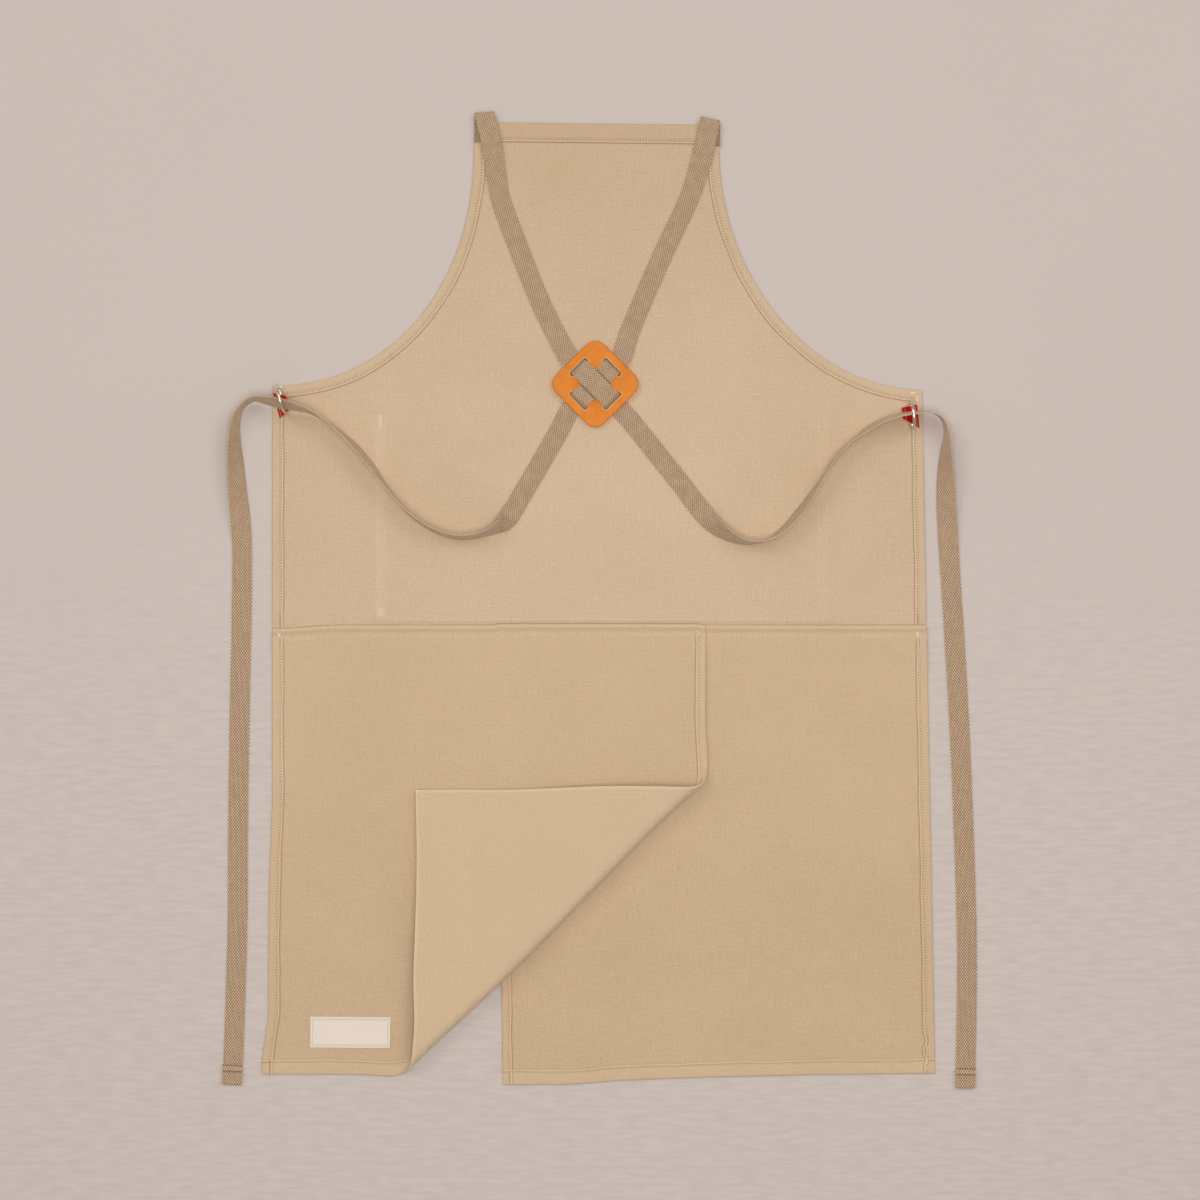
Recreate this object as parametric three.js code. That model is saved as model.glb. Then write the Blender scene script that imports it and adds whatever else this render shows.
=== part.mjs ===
// Canvas work apron with crossed webbing straps, laid out face down with its wrong side up.
// Millimetres, +Z up. X runs across the apron, Y from the skirt hem to the top of the bib,
// and the floor it lies on is Z = 0.
import * as THREE from "three";

// Materials by thickness, and the clearance kept between pieces that touch
const CLOTH = 1.0;
const GAP = 0.3;
const WEBBING = { width: 20, thickness: 1.4, foldRadius: 1.15 };
const STEP = 0.6; // run of the small step at a hem's inner edge
const FLOOR = 0.15; // height of the tie ends above the floor

// Bib: superellipse armholes from the side corners up to the narrow top
const ARMHOLES = {
  left: { cornerX: -327.5, cornerY: 214, topX: -126, topY: 450, power: 2.1 },
  right: { cornerX: 322, cornerY: 210, topX: 119, topY: 450, power: 1.95 },
};
const ARMHOLE_ROWS = 12;
const BIB = {
  bottom: -39,
  waistLeft: -327.5,
  waistRight: 326,
  topLeft: 477.5,
  topRight: 475,
  topHem: 19,
  sideHem: 11,
  cornerMiddle: 205, // height of the row through the corners, at the middle of the bib
};
const BIB_COLUMNS = [-244, -228, -150, -75, 0, 75, 150, 229, 245];
const BIB_SIDE_ROWS = [30, 80, 130, 189];

// Patch pocket on the hidden face, which lifts the bib above it
const POCKET = { left: -225, right: 226, bottom: -16, top: 186 };
const POCKET_RAMP = { margin: 3, run: 16, runBelow: 6 };

// Skirt: two leg panels lapped over the bib's lower edge, the left one over the right one
const WAIST = { edge: -25.3, lapEnd: -41, settled: -68, lift: 1.5 };
const RIGHT_LEG = {
  innerTop: -103,
  innerBottom: -97,
  outerTop: 326.5,
  outerBottom: 335,
  sideHem: 11,
  innerHem: 9.5,
  bottomHem: 14.5,
};
const RIGHT_LEG_ROWS = [-68, -150, -250, -350, -430];
// Lower edge of the right leg, which hangs lower towards the inner corner
const RIGHT_HEM_LINE = [
  { x: -103, y: -484.5 },
  { x: -33, y: -484.2 },
  { x: 23, y: -480 },
  { x: 71, y: -478 },
  { x: 135, y: -476 },
  { x: 199, y: -474.5 },
  { x: 335, y: -473 },
];
const LEFT_LEG = { inner: 105.5, bottom: -474, sideHem: 11, innerHem: 10, bottomHem: 14.5 };
// Outer edge of the left leg, which flares at its lower hem
const LEFT_SIDE_LINE = [
  { y: -20, x: -327.5 },
  { y: -200, x: -327.5 },
  { y: -290, x: -331 },
  { y: -415, x: -331.5 },
  { y: -440, x: -335 },
  { y: -460, x: -338 },
  { y: -480, x: -338 },
];
const OVERLAP = { start: -205, full: -114, lift: 2.5, seamLift: 0.4 };

// Corner of the left leg turned back over the fold line, in a soft roll
const FLAP = { cornerX: -184.5, cornerY: -189.5 };
const ROLL = {
  radius: 8,
  tightBy: 2.5, // the roll is tighter towards the inner edge
  tightFrom: 130,
  tightTo: 205,
  tightPower: 1.5,
  settle: 150, // run over which the flap sinks from the roll
  rest: 4.2, // height at which it comes to rest
  bend: 5.5, // the fold line bends up towards the lower hem
  bendFrom: 40,
  bendTo: 180,
  bendPower: 1.3,
  tuck: 1.9, // slack that draws the roll back, and its share less at the tight end
  tuckLess: 2.6,
  tuckFlap: 150,
  tuckLying: 60,
};
const FLAP_ROWS = [-200, -190, -175, -155, -135, -115, -95, -78, -62, -48, -36, -25];
const ROLL_ROWS = { from: -16, to: 20, count: 17 };
const LEG_ROWS = [29, 42, 62, 88, 113, 114.5, 140, 170, 205, 240, 275, 310, 345, 378, 402, 419];
const LEG_COLUMNS = 13;
const LEG_EDGE = { leastRun: 1.8, mostShare: 0.45, fullStep: 20, inside: 0.01 };

// Leather square that holds the crossing, turned on its corner
const KEEPER = { x: -4.6, y: 215.6, turn: 45, side: 68, corner: 13, thickness: 2.5, bottom: 4.5 };
const SLIT = { length: 23.4, inner: 19.2, outer: 26, corner: 1.6 };
// Path of a strap through the slits, as distances from the middle of a slit
const THREADING = { lead: 12.4, level: 5.6, slope: 3.2, dip: 0.1, clearance: 0.5 };

// Rings at the side corners: a straight bar under a tape tab, and an arched bow
const RING = { wire: 1.5, halfWidth: 12.5, corner: 2.2, height: 24.9 };
const RING_SIDES = { along: 60, around: 8 };
const TAB = {
  tape: 20,
  thickness: 1.0,
  outerFoot: 7,
  innerFoot: 8.5,
  bendFrom: 2, // the feet bend up to the hump, in parts of the hump's radius
  bendTo: 1.35,
  bendRise: 0.4,
};
const TAB_HUMP_ANGLES = [15, 40, 65, 90, 115, 140, 165];
const RING_PLACES = [
  { side: "left", x: -317.5, y: 199.5, turn: 15, inward: 1 },
  { side: "right", x: 313, y: 184, turn: 6, inward: -1 },
];

const LABEL = { x: -249.6, y: -432.1, width: 80, height: 31, turn: -0.4, corner: 1.5 };

// Straps: sewn end, folded over the bib's top edge, then stations along the strap.
// "low" is the height of the strap's lowest edge, "tilt" turns its left edge up, in degrees.
const STRAP_A = {
  name: "strap_a",
  sewn: { x: -115.7, from: 457.5, fold: 486.5, lowLay: -90, topLay: -85 },
  toKeeper: [
    { x: -110.7, y: 467, low: 4.6, tilt: 0 },
    { x: -108.3, y: 454, low: 4.3, tilt: 0 },
    { x: -105.5, y: 438, low: 2.9, tilt: 0 },
    { x: -102.6, y: 418, low: 1.7, tilt: 0 },
    { x: -99, y: 400, low: 1.3, tilt: 0 },
    { x: -80.5, y: 350, low: 1.3, tilt: 0 },
    { x: -60.5, y: 300, low: 1.3, tilt: 0 },
    { x: -43.5, y: 265, low: 1.5, tilt: 0 },
  ],
  crossing: { heading: -45, over: 9.0 },
  toEnd: [
    { x: 30, y: 180, low: 2.6, tilt: 0 },
    { x: 46, y: 160, low: 2.6, tilt: 0 },
    { x: 62, y: 140, low: 2.6, tilt: 0 },
    { x: 78, y: 120, low: 2.6, tilt: 0 },
    { x: 91.5, y: 102, low: 2.6, tilt: 2 },
    { x: 102, y: 88, low: 2.7, tilt: 12 },
    { x: 113.5, y: 75, low: 2.7, tilt: 34 },
    { x: 128, y: 64.5, low: 2.7, tilt: 58 },
    { x: 146, y: 57.5, low: 2.7, tilt: 77 },
    { x: 163, y: 59, low: 2.7, tilt: 91 },
    { x: 180, y: 68, low: 2.7, tilt: 104 },
    { x: 198, y: 87, low: 2.7, tilt: 111 },
    { x: 215, y: 111, low: 2.7, tilt: 101 },
    { x: 232, y: 136, low: 2.7, tilt: 84 },
    { x: 250, y: 157, low: 2.0, tilt: 90 },
    { x: 270, y: 172.3, low: 2.6, tilt: 105 },
    { x: 290, y: 181.8, low: 5.2, tilt: 103 },
    { x: 313, y: 186.2, low: 7.0, tilt: 100 },
    { x: 330, y: 186.4, low: 5.0, tilt: 95 },
    { x: 340.5, y: 181, low: 2.2, tilt: 90 },
    { x: 345.6, y: 168, low: 0.4, tilt: 82 },
    { x: 345.2, y: 150, low: 0.2, tilt: 63 },
    { x: 345, y: 127, low: 0.2, tilt: 40 },
    { x: 345.7, y: 100, low: 0.2, tilt: 22 },
    { x: 348, y: 60, low: 0.2, tilt: 6 },
    { x: 350, y: 30, low: FLOOR, tilt: 0 },
    { x: 354.5, y: -40, low: FLOOR, tilt: 0 },
    { x: 360, y: -140, low: FLOOR, tilt: 0 },
    { x: 364, y: -240, low: FLOOR, tilt: 0 },
    { x: 366.8, y: -340, low: FLOOR, tilt: 0 },
    { x: 366.3, y: -430, low: FLOOR, tilt: 0 },
  ],
  end: { x: 365, y: -487.3, lay: -91, turnedBack: 18 },
};
const STRAP_B = {
  name: "strap_b",
  sewn: { x: 110.2, from: 453.5, fold: 480, lowLay: -92, topLay: -105 },
  toKeeper: [
    { x: 107.2, y: 463, low: 4.6, tilt: 0 },
    { x: 104, y: 450, low: 4.3, tilt: 0 },
    { x: 99.8, y: 434, low: 2.9, tilt: 0 },
    { x: 94.2, y: 416, low: 1.7, tilt: 0 },
    { x: 88.5, y: 400, low: 1.3, tilt: 0 },
    { x: 65, y: 350, low: 1.3, tilt: 0 },
    { x: 43, y: 300, low: 1.3, tilt: 0 },
    { x: 28.5, y: 265, low: 1.5, tilt: 0 },
  ],
  crossing: { heading: -135, over: 7.3 },
  toEnd: [
    { x: -40, y: 171, low: 2.6, tilt: 0 },
    { x: -57.5, y: 140, low: 2.6, tilt: 0 },
    { x: -75, y: 110, low: 2.6, tilt: 0 },
    { x: -85, y: 93, low: 2.8, tilt: 0 },
    { x: -91, y: 83, low: 3.0, tilt: -14 },
    { x: -98, y: 75, low: 2.7, tilt: -50 },
    { x: -109, y: 68.5, low: 2.7, tilt: -72 },
    { x: -125, y: 63.5, low: 2.7, tilt: -78 },
    { x: -142, y: 62.5, low: 2.7, tilt: -78 },
    { x: -160, y: 67, low: 2.7, tilt: -79 },
    { x: -178, y: 76.5, low: 2.7, tilt: -82 },
    { x: -196, y: 91.5, low: 2.7, tilt: -86 },
    { x: -212, y: 111, low: 2.7, tilt: -94 },
    { x: -228, y: 134, low: 2.7, tilt: -106 },
    { x: -244, y: 153, low: 2.4, tilt: -106 },
    { x: -258, y: 166.5, low: 1.8, tilt: -98 },
    { x: -272, y: 177, low: 2.2, tilt: -89 },
    { x: -288, y: 187, low: 4.8, tilt: -81 },
    { x: -303, y: 192, low: 6.6, tilt: -72 },
    { x: -317.5, y: 195.2, low: 7.2, tilt: -59 },
    { x: -332, y: 198.5, low: 5.5, tilt: -69 },
    { x: -346, y: 199.8, low: 3.0, tilt: -79 },
    { x: -357, y: 192.5, low: 1.0, tilt: -80 },
    { x: -363.3, y: 178, low: 0.2, tilt: -68 },
    { x: -364.8, y: 160, low: 0.2, tilt: -57 },
    { x: -363.7, y: 135, low: 0.2, tilt: -40 },
    { x: -362, y: 110, low: 0.2, tilt: -28 },
    { x: -359.7, y: 85, low: 0.2, tilt: -14 },
    { x: -358, y: 55, low: 0.2, tilt: 0 },
    { x: -357.9, y: 25, low: FLOOR, tilt: 0 },
    { x: -358.5, y: -25, low: FLOOR, tilt: 0 },
    { x: -360.3, y: -115, low: FLOOR, tilt: 0 },
    { x: -362, y: -240, low: FLOOR, tilt: 0 },
    { x: -362.3, y: -315, low: FLOOR, tilt: 0 },
    { x: -364.7, y: -405, low: FLOOR, tilt: 0 },
    { x: -366.5, y: -455, low: FLOOR, tilt: 0 },
  ],
  end: { x: -368, y: -484, lay: -93, turnedBack: 18 },
};
const STRAP_STEPS = 3; // sections between two stations
const FOLD_TURNS = [-90, -45, 0, 45, 90]; // degrees round a folded end
const SEWN_SHARES = [0, 0.55, 0.86]; // stations along a sewn end, up to its fold
const TIE_SHARES = [0.35, 1]; // stations along the turned-back piece of a tie end

const FINISH = {
  canvas: { color: 0xcfb595, roughness: 0.9, metalness: 0 },
  webbing: { color: 0xb09074, roughness: 0.85, metalness: 0 },
  leather: { color: 0xde843a, roughness: 0.55, metalness: 0 },
  metal: { color: 0xd8cfb8, roughness: 0.25, metalness: 1 },
  tape: { color: 0xc32022, roughness: 0.8, metalness: 0 },
  label: { color: 0xe6d7c8, roughness: 0.85, metalness: 0 },
};

const ramp = (value, from, to) => THREE.MathUtils.clamp((value - from) / (to - from), 0, 1);
const radians = THREE.MathUtils.degToRad;
const lerp = THREE.MathUtils.lerp;
const QUARTER = Math.PI / 2;

function interpolate(table, key, at, value) {
  // Straight lines between the rows of a table that is sorted along "key", either way
  const rising = table[1][key] > table[0][key];
  let k = 0;
  while (k < table.length - 2 && (at > table[k + 1][key]) === rising) k += 1;
  const share = ramp(at, table[k][key], table[k + 1][key]);
  return lerp(table[k][value], table[k + 1][value], share);
}

// Closed sheet between two grids of points: the face below and the back above
function sheetGeometry(face, back) {
  const rows = face.length;
  const columns = face[0].length;
  const points = [...face.flat(), ...back.flat()];
  const id = (layer, i, j) => (layer * rows + i) * columns + j;
  const index = [];
  const quad = (a, b, c, d) => index.push(a, b, c, a, c, d);
  const lastRow = rows - 1;
  const lastColumn = columns - 1;
  for (let i = 0; i < lastRow; i++) {
    for (let j = 0; j < lastColumn; j++) {
      quad(id(1, i, j), id(1, i, j + 1), id(1, i + 1, j + 1), id(1, i + 1, j));
      quad(id(0, i, j), id(0, i + 1, j), id(0, i + 1, j + 1), id(0, i, j + 1));
    }
    quad(id(0, i + 1, 0), id(0, i, 0), id(1, i, 0), id(1, i + 1, 0));
    quad(id(0, i, lastColumn), id(0, i + 1, lastColumn), id(1, i + 1, lastColumn), id(1, i, lastColumn));
  }
  for (let j = 0; j < lastColumn; j++) {
    quad(id(0, 0, j), id(0, 0, j + 1), id(1, 0, j + 1), id(1, 0, j));
    quad(id(0, lastRow, j + 1), id(0, lastRow, j), id(1, lastRow, j), id(1, lastRow, j + 1));
  }
  const geometry = new THREE.BufferGeometry().setFromPoints(points);
  geometry.setIndex(index);
  return geometry;
}

// Panel lying flat: each vertex has a place, the height of its face and its layers of cloth
function flatPanel(rows) {
  const face = rows.map((row) => row.map((v) => new THREE.Vector3(v.x, v.y, v.z)));
  const back = rows.map((row) => row.map((v) => new THREE.Vector3(v.x, v.y, v.z + CLOTH * v.layers)));
  return sheetGeometry(face, back);
}

function pocketLift(x, y) {
  const { margin, run, runBelow } = POCKET_RAMP;
  const left = ramp(x, POCKET.left - margin - run, POCKET.left - margin);
  const right = 1 - ramp(x, POCKET.right + margin, POCKET.right + margin + run);
  const below = ramp(y, POCKET.bottom - margin - runBelow, POCKET.bottom - margin);
  const above = 1 - ramp(y, POCKET.top + margin, POCKET.top + margin + run);
  return (CLOTH + GAP) * Math.min(left, right, below, above);
}

// A point of an armhole and its inward normal, from the top (angle 0) to the corner
function armholePoint(armhole, angle) {
  const { cornerX, cornerY, topX, topY, power } = armhole;
  const across = Math.max(Math.cos(angle), 0) ** (2 / power);
  const down = Math.sin(angle) ** (2 / power);
  const width = topX - cornerX;
  const depth = topY - cornerY;
  const place = new THREE.Vector2(cornerX + width * across, topY - depth * down);
  const inward = new THREE.Vector2(across ** (power - 1) / width, -(down ** (power - 1)) / depth);
  return { place, inward: inward.normalize(), reach: BIB.sideHem };
}

// A row across the bib: edge, hem and step at both sides, and columns in proportion between
function bibRow({ left, right, middle, hemLayers, layers }) {
  const hemPoints = (end) =>
    [0, end.reach, end.reach + STEP].map((d) => end.place.clone().addScaledVector(end.inward, d));
  const [leftEdge, leftHem, leftStep] = hemPoints(left);
  const [rightEdge, rightHem, rightStep] = hemPoints(right);
  const inner = BIB_COLUMNS.map((x) => {
    const share = ramp(x, BIB.waistLeft + BIB.sideHem, BIB.waistRight - BIB.sideHem);
    const point = leftStep.clone().lerp(rightStep, share);
    const toMiddle = 1 - (2 * share - 1) ** 4;
    return point.setY(lerp(point.y, middle ?? point.y, toMiddle));
  });
  const hem = [leftEdge, leftHem, rightHem, rightEdge];
  return [leftEdge, leftHem, leftStep, ...inner, rightStep, rightHem, rightEdge].map((p) => ({
    x: p.x,
    y: p.y,
    z: pocketLift(p.x, p.y),
    layers: hem.includes(p) ? hemLayers : layers,
  }));
}

function bibGeometry() {
  const { left, right } = ARMHOLES;
  const side = (x, sign) => (y) => ({
    place: new THREE.Vector2(x(y), y),
    inward: new THREE.Vector2(sign, 0),
    reach: BIB.sideHem,
  });
  const rightEdgeX = (y) => lerp(BIB.waistRight, right.cornerX, ramp(y, 0, right.cornerY));
  const leftSide = side(() => left.cornerX, 1);
  const rightSide = side(rightEdgeX, -1);
  const sideRow = (y, hemLayers) =>
    bibRow({ left: leftSide(y), right: rightSide(y), hemLayers, layers: 1 });

  const pocketFoot = POCKET.bottom - POCKET_RAMP.margin;
  const rows = [
    sideRow(BIB.bottom, 1),
    sideRow(pocketFoot - POCKET_RAMP.runBelow, 1),
    sideRow(pocketFoot, 2),
    ...BIB_SIDE_ROWS.map((y) => sideRow(y, 2)),
  ];
  const mitre = (armhole, sign) => ({
    place: new THREE.Vector2(armhole.cornerX, armhole.cornerY),
    inward: new THREE.Vector2(sign, -1).normalize(),
    reach: BIB.sideHem * Math.SQRT2,
  });
  rows.push(bibRow({
    left: mitre(left, 1),
    right: mitre(right, -1),
    middle: BIB.cornerMiddle,
    hemLayers: 2,
    layers: 1,
  }));
  for (let k = 1; k <= ARMHOLE_ROWS; k++) {
    const angle = QUARTER * (1 - k / ARMHOLE_ROWS);
    rows.push(bibRow({
      left: armholePoint(left, angle),
      right: armholePoint(right, angle),
      middle: lerp(BIB.cornerMiddle, left.topY, k / ARMHOLE_ROWS),
      hemLayers: 2,
      layers: 1,
    }));
  }
  const topRow = (below, layers) => {
    const leftEnd = side(() => left.topX, 1)(BIB.topLeft - below);
    const rightEnd = side(() => right.topX, -1)(BIB.topRight - below);
    return bibRow({ left: leftEnd, right: rightEnd, hemLayers: 2, layers });
  };
  rows.push(topRow(BIB.topHem + STEP, 1), topRow(BIB.topHem, 2), topRow(0, 2));
  return flatPanel(rows);
}

function pocketGeometry() {
  const corner = (x, y) => ({ x, y, z: 0, layers: 1 });
  return flatPanel([
    [corner(POCKET.left, POCKET.bottom), corner(POCKET.right, POCKET.bottom)],
    [corner(POCKET.left, POCKET.top), corner(POCKET.right, POCKET.top)],
  ]);
}

const waistLap = (y) => ramp(y, WAIST.settled, WAIST.lapEnd);

function rightLegGeometry() {
  const leg = RIGHT_LEG;
  const down = (y) => ramp(y, WAIST.edge, RIGHT_HEM_LINE[0].y);
  const hemY = (x) => interpolate(RIGHT_HEM_LINE, "x", x, "y");
  const bottom = RIGHT_HEM_LINE.map((row) => row.x).slice(1, -1);
  const columnsAt = (y) => {
    const inner = lerp(leg.innerTop, leg.innerBottom, down(y));
    const outer = lerp(leg.outerTop, leg.outerBottom, down(y));
    const left = [inner, inner + leg.innerHem, inner + leg.innerHem + STEP];
    const right = [outer - leg.sideHem - STEP, outer - leg.sideHem, outer];
    return [...left, ...bottom, ...right];
  };
  const row = (heightAt, hemLayers, layers) => {
    const columns = columnsAt(heightAt(0));
    return columns.map((x, j) => {
      const inHem = j < 2 || j >= columns.length - 2;
      const y = heightAt(x);
      return { x, y, z: WAIST.lift * waistLap(y), layers: inHem ? hemLayers : layers };
    });
  };
  const straight = (y) => () => y;
  const hemRow = (above) => (x) => hemY(x) + above;
  return flatPanel([
    row(hemRow(0), 2, 2),
    row(hemRow(leg.bottomHem), 2, 2),
    row(hemRow(leg.bottomHem + STEP), 2, 1),
    ...RIGHT_LEG_ROWS.toReversed().map((y) => row(straight(y), 2, 1)),
    row(straight(WAIST.lapEnd), 1, 1),
    row(straight(WAIST.edge), 1, 1),
  ]);
}

// Height of the left leg's face: on the floor, over the bib's edge and over the right leg
function leftLegLift(x, y) {
  const over = ramp(x, OVERLAP.start, OVERLAP.full);
  const lap = waistLap(y);
  return Math.max(OVERLAP.lift * over, WAIST.lift * lap) + OVERLAP.seamLift * over * lap;
}

// Left leg: worked out flat in rows along the fold line, then carried round the roll
function leftLegGeometry() {
  const leg = LEFT_LEG;
  const corner = new THREE.Vector2(leg.inner, leg.bottom);
  const turned = new THREE.Vector2(FLAP.cornerX, FLAP.cornerY);
  const middle = corner.clone().lerp(turned, 0.5);
  const upper = turned.clone().sub(corner).normalize(); // across the fold, towards the bib
  const along = new THREE.Vector2(upper.y, -upper.x); // along the fold, towards the inner edge
  const flat = (s, q) => middle.clone().addScaledVector(upper, q).addScaledVector(along, s);
  const sideX = (y) => interpolate(LEFT_SIDE_LINE, "y", y, "x");

  const inHem = (p) =>
    p.x > leg.inner - leg.innerHem ||
    p.y < leg.bottom + leg.bottomHem ||
    p.x < sideX(p.y) + leg.sideHem;
  // The ends of a row on the panel's edges
  const rightEnd = (q) => {
    const base = flat(0, q);
    return Math.min((leg.inner - base.x) / along.x, (WAIST.edge - base.y) / along.y);
  };
  const leftEnd = (q) => {
    const base = flat(0, q);
    const toBottom = (leg.bottom - base.y) / along.y;
    let toSide = (sideX(base.y) - base.x) / along.x;
    for (let k = 0; k < 4; k++) toSide = (sideX(base.y + toSide * along.y) - base.x) / along.x;
    return Math.max(toBottom, toSide);
  };
  // How far a row runs inside the hems, measured from one of its ends
  const hemRun = (end, sign, q) => {
    const p = flat(end, q);
    const runs = [
      sign < 0 ? (leg.innerHem - (leg.inner - p.x)) / along.x : 0,
      sign > 0 ? (leg.bottomHem - (p.y - leg.bottom)) / along.y : 0,
      sign > 0 ? (leg.sideHem - (p.x - sideX(p.y))) / along.x : 0,
    ];
    return Math.max(...runs, LEG_EDGE.leastRun);
  };
  const columnsOf = (q) => {
    const from = leftEnd(q);
    const to = rightEnd(q);
    const most = LEG_EDGE.mostShare * (to - from);
    const leftRun = Math.min(hemRun(from, 1, q), most);
    const rightRun = Math.min(hemRun(to, -1, q), most);
    const step = STEP * ramp(most, 0, LEG_EDGE.fullStep);
    const leftHem = from + leftRun - LEG_EDGE.inside;
    const rightHem = to - rightRun + LEG_EDGE.inside;
    const start = from + leftRun + step;
    const stop = to - rightRun - step;
    const shares = Array.from({ length: LEG_COLUMNS }, (_, j) => (j + 1) / (LEG_COLUMNS + 1));
    const inner = shares.map((share) => lerp(start, stop, share));
    return [from, leftHem, start, ...inner, stop, rightHem, to];
  };
  // Round the roll: where a point of the flat panel comes to lie, and the way to its back side
  const turn = (s, q) => {
    const tight = ramp(s, ROLL.tightFrom, ROLL.tightTo) ** ROLL.tightPower;
    const radius = ROLL.radius - ROLL.tightBy * tight;
    const bend = ROLL.bend * ramp(-s, ROLL.bendFrom, ROLL.bendTo) ** ROLL.bendPower;
    const tuck = ROLL.tuck - ROLL.tuckLess * tight;
    const fade = (run, length) => 0.5 * (1 + Math.cos(Math.PI * ramp(run, 0, length)));
    const start = QUARTER * radius + bend;
    const arc = Math.max(start - q, 0);
    const angle = Math.min(arc / radius, Math.PI);
    const past = Math.max(arc - Math.PI * radius, 0);
    const fall = Math.PI * ramp(past, 0, ROLL.settle);
    const drop = 2 * radius - ROLL.rest;
    const height = radius * (1 - Math.cos(angle)) - drop * 0.5 * (1 - Math.cos(fall));
    const slope = (-drop * 0.5 * Math.sin(fall) * Math.PI) / ROLL.settle;
    const offset = arc > 0
      ? start - radius * Math.sin(angle) + past + tuck * fade(past, ROLL.tuckFlap)
      : q + tuck * fade(q - start, ROLL.tuckLying);
    const across = Math.sin(angle) + (past > 0 ? slope : 0);
    const toBack = new THREE.Vector3(upper.x * across, upper.y * across, Math.cos(angle)).normalize();
    return { offset, height, toBack };
  };
  const rollStep = (ROLL_ROWS.to - ROLL_ROWS.from) / (ROLL_ROWS.count - 1);
  const rollRows = Array.from({ length: ROLL_ROWS.count }, (_, k) => ROLL_ROWS.from + k * rollStep);
  const face = [];
  const back = [];
  for (const q of [...FLAP_ROWS, ...rollRows, ...LEG_ROWS]) {
    const columns = columnsOf(q);
    const points = columns.map((s) => {
      const { offset, height } = turn(s, q);
      const place = flat(s, offset);
      return new THREE.Vector3(place.x, place.y, leftLegLift(place.x, place.y) + height);
    });
    face.push(points);
    back.push(points.map((p, j) => {
      const layers = inHem(flat(columns[j], q)) ? 2 : 1;
      return p.clone().addScaledVector(turn(columns[j], q).toBack, CLOTH * layers);
    }));
  }
  return sheetGeometry(face, back);
}

// Stations of a strap's end that is folded over on itself, seen from its side
function foldStations({ x, y, low, lay, sign }) {
  const heading = new THREE.Vector2(Math.cos(radians(lay)), Math.sin(radians(lay)));
  return FOLD_TURNS.map((turn) => {
    const outward = WEBBING.foldRadius * (Math.cos(radians(turn)) - 1) * sign;
    return {
      x: x + heading.x * outward,
      y: y + heading.y * outward,
      low: low + WEBBING.foldRadius * (1 + Math.sin(radians(turn))),
      tilt: 0,
      lay,
    };
  });
}

function strapStations(strap) {
  const { sewn, crossing, end } = strap;
  const onHem = 2 * CLOTH + GAP;
  const sewnEnd = SEWN_SHARES.map((share, k) => ({
    x: sewn.x,
    y: lerp(sewn.from, sewn.fold, share),
    low: onHem,
    tilt: 0,
    lay: lerp(sewn.lowLay, sewn.topLay, k / SEWN_SHARES.length),
  }));
  const bibFold = foldStations({
    x: sewn.x,
    y: sewn.fold,
    low: onHem,
    lay: sewn.topLay,
    sign: -1,
  });
  const { lead, level, slope, dip, clearance } = THREADING;
  const under = KEEPER.bottom - clearance - WEBBING.thickness;
  const overLeather = KEEPER.bottom + KEEPER.thickness + GAP;
  const slit = (SLIT.inner + SLIT.outer) / 2;
  const profile = [
    { d: slit + lead, low: under },
    { d: slit + level, low: under },
    { d: slit + slope, low: under + dip },
    { d: slit, low: (under + overLeather) / 2 },
    { d: slit - slope, low: overLeather - dip },
    { d: slit - level, low: overLeather },
    { d: WEBBING.width / 2 + CLOTH, low: crossing.over },
    { d: 0, low: crossing.over },
  ];
  const heading = radians(crossing.heading);
  const place = ({ d, low }) => ({
    x: KEEPER.x + d * Math.cos(heading),
    y: KEEPER.y + d * Math.sin(heading),
    low,
    tilt: 0,
  });
  const before = profile.slice(0, -1).map((row) => place({ d: -row.d, low: row.low }));
  const after = profile.toReversed().map(place);
  const endFold = foldStations({
    x: end.x,
    y: end.y,
    low: FLOOR,
    lay: end.lay,
    sign: 1,
  });
  // Flat stretches of the turned-back end: the strap running out, and its end lying on top
  const flatEnd = (share, low) => ({
    x: end.x - Math.cos(radians(end.lay)) * end.turnedBack * share,
    y: end.y - Math.sin(radians(end.lay)) * end.turnedBack * share,
    low,
    tilt: 0,
    lay: end.lay,
  });
  const runOut = TIE_SHARES.toReversed().map((share) => flatEnd(share, FLOOR));
  const onTop = TIE_SHARES.map((share) => flatEnd(share, FLOOR + 2 * WEBBING.foldRadius));
  const sewnStretch = [...sewnEnd, ...bibFold];
  const route = [...strap.toKeeper, ...before, ...after, ...strap.toEnd];
  return [...sewnStretch, ...route, ...runOut, ...endFold, ...onTop];
}

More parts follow.
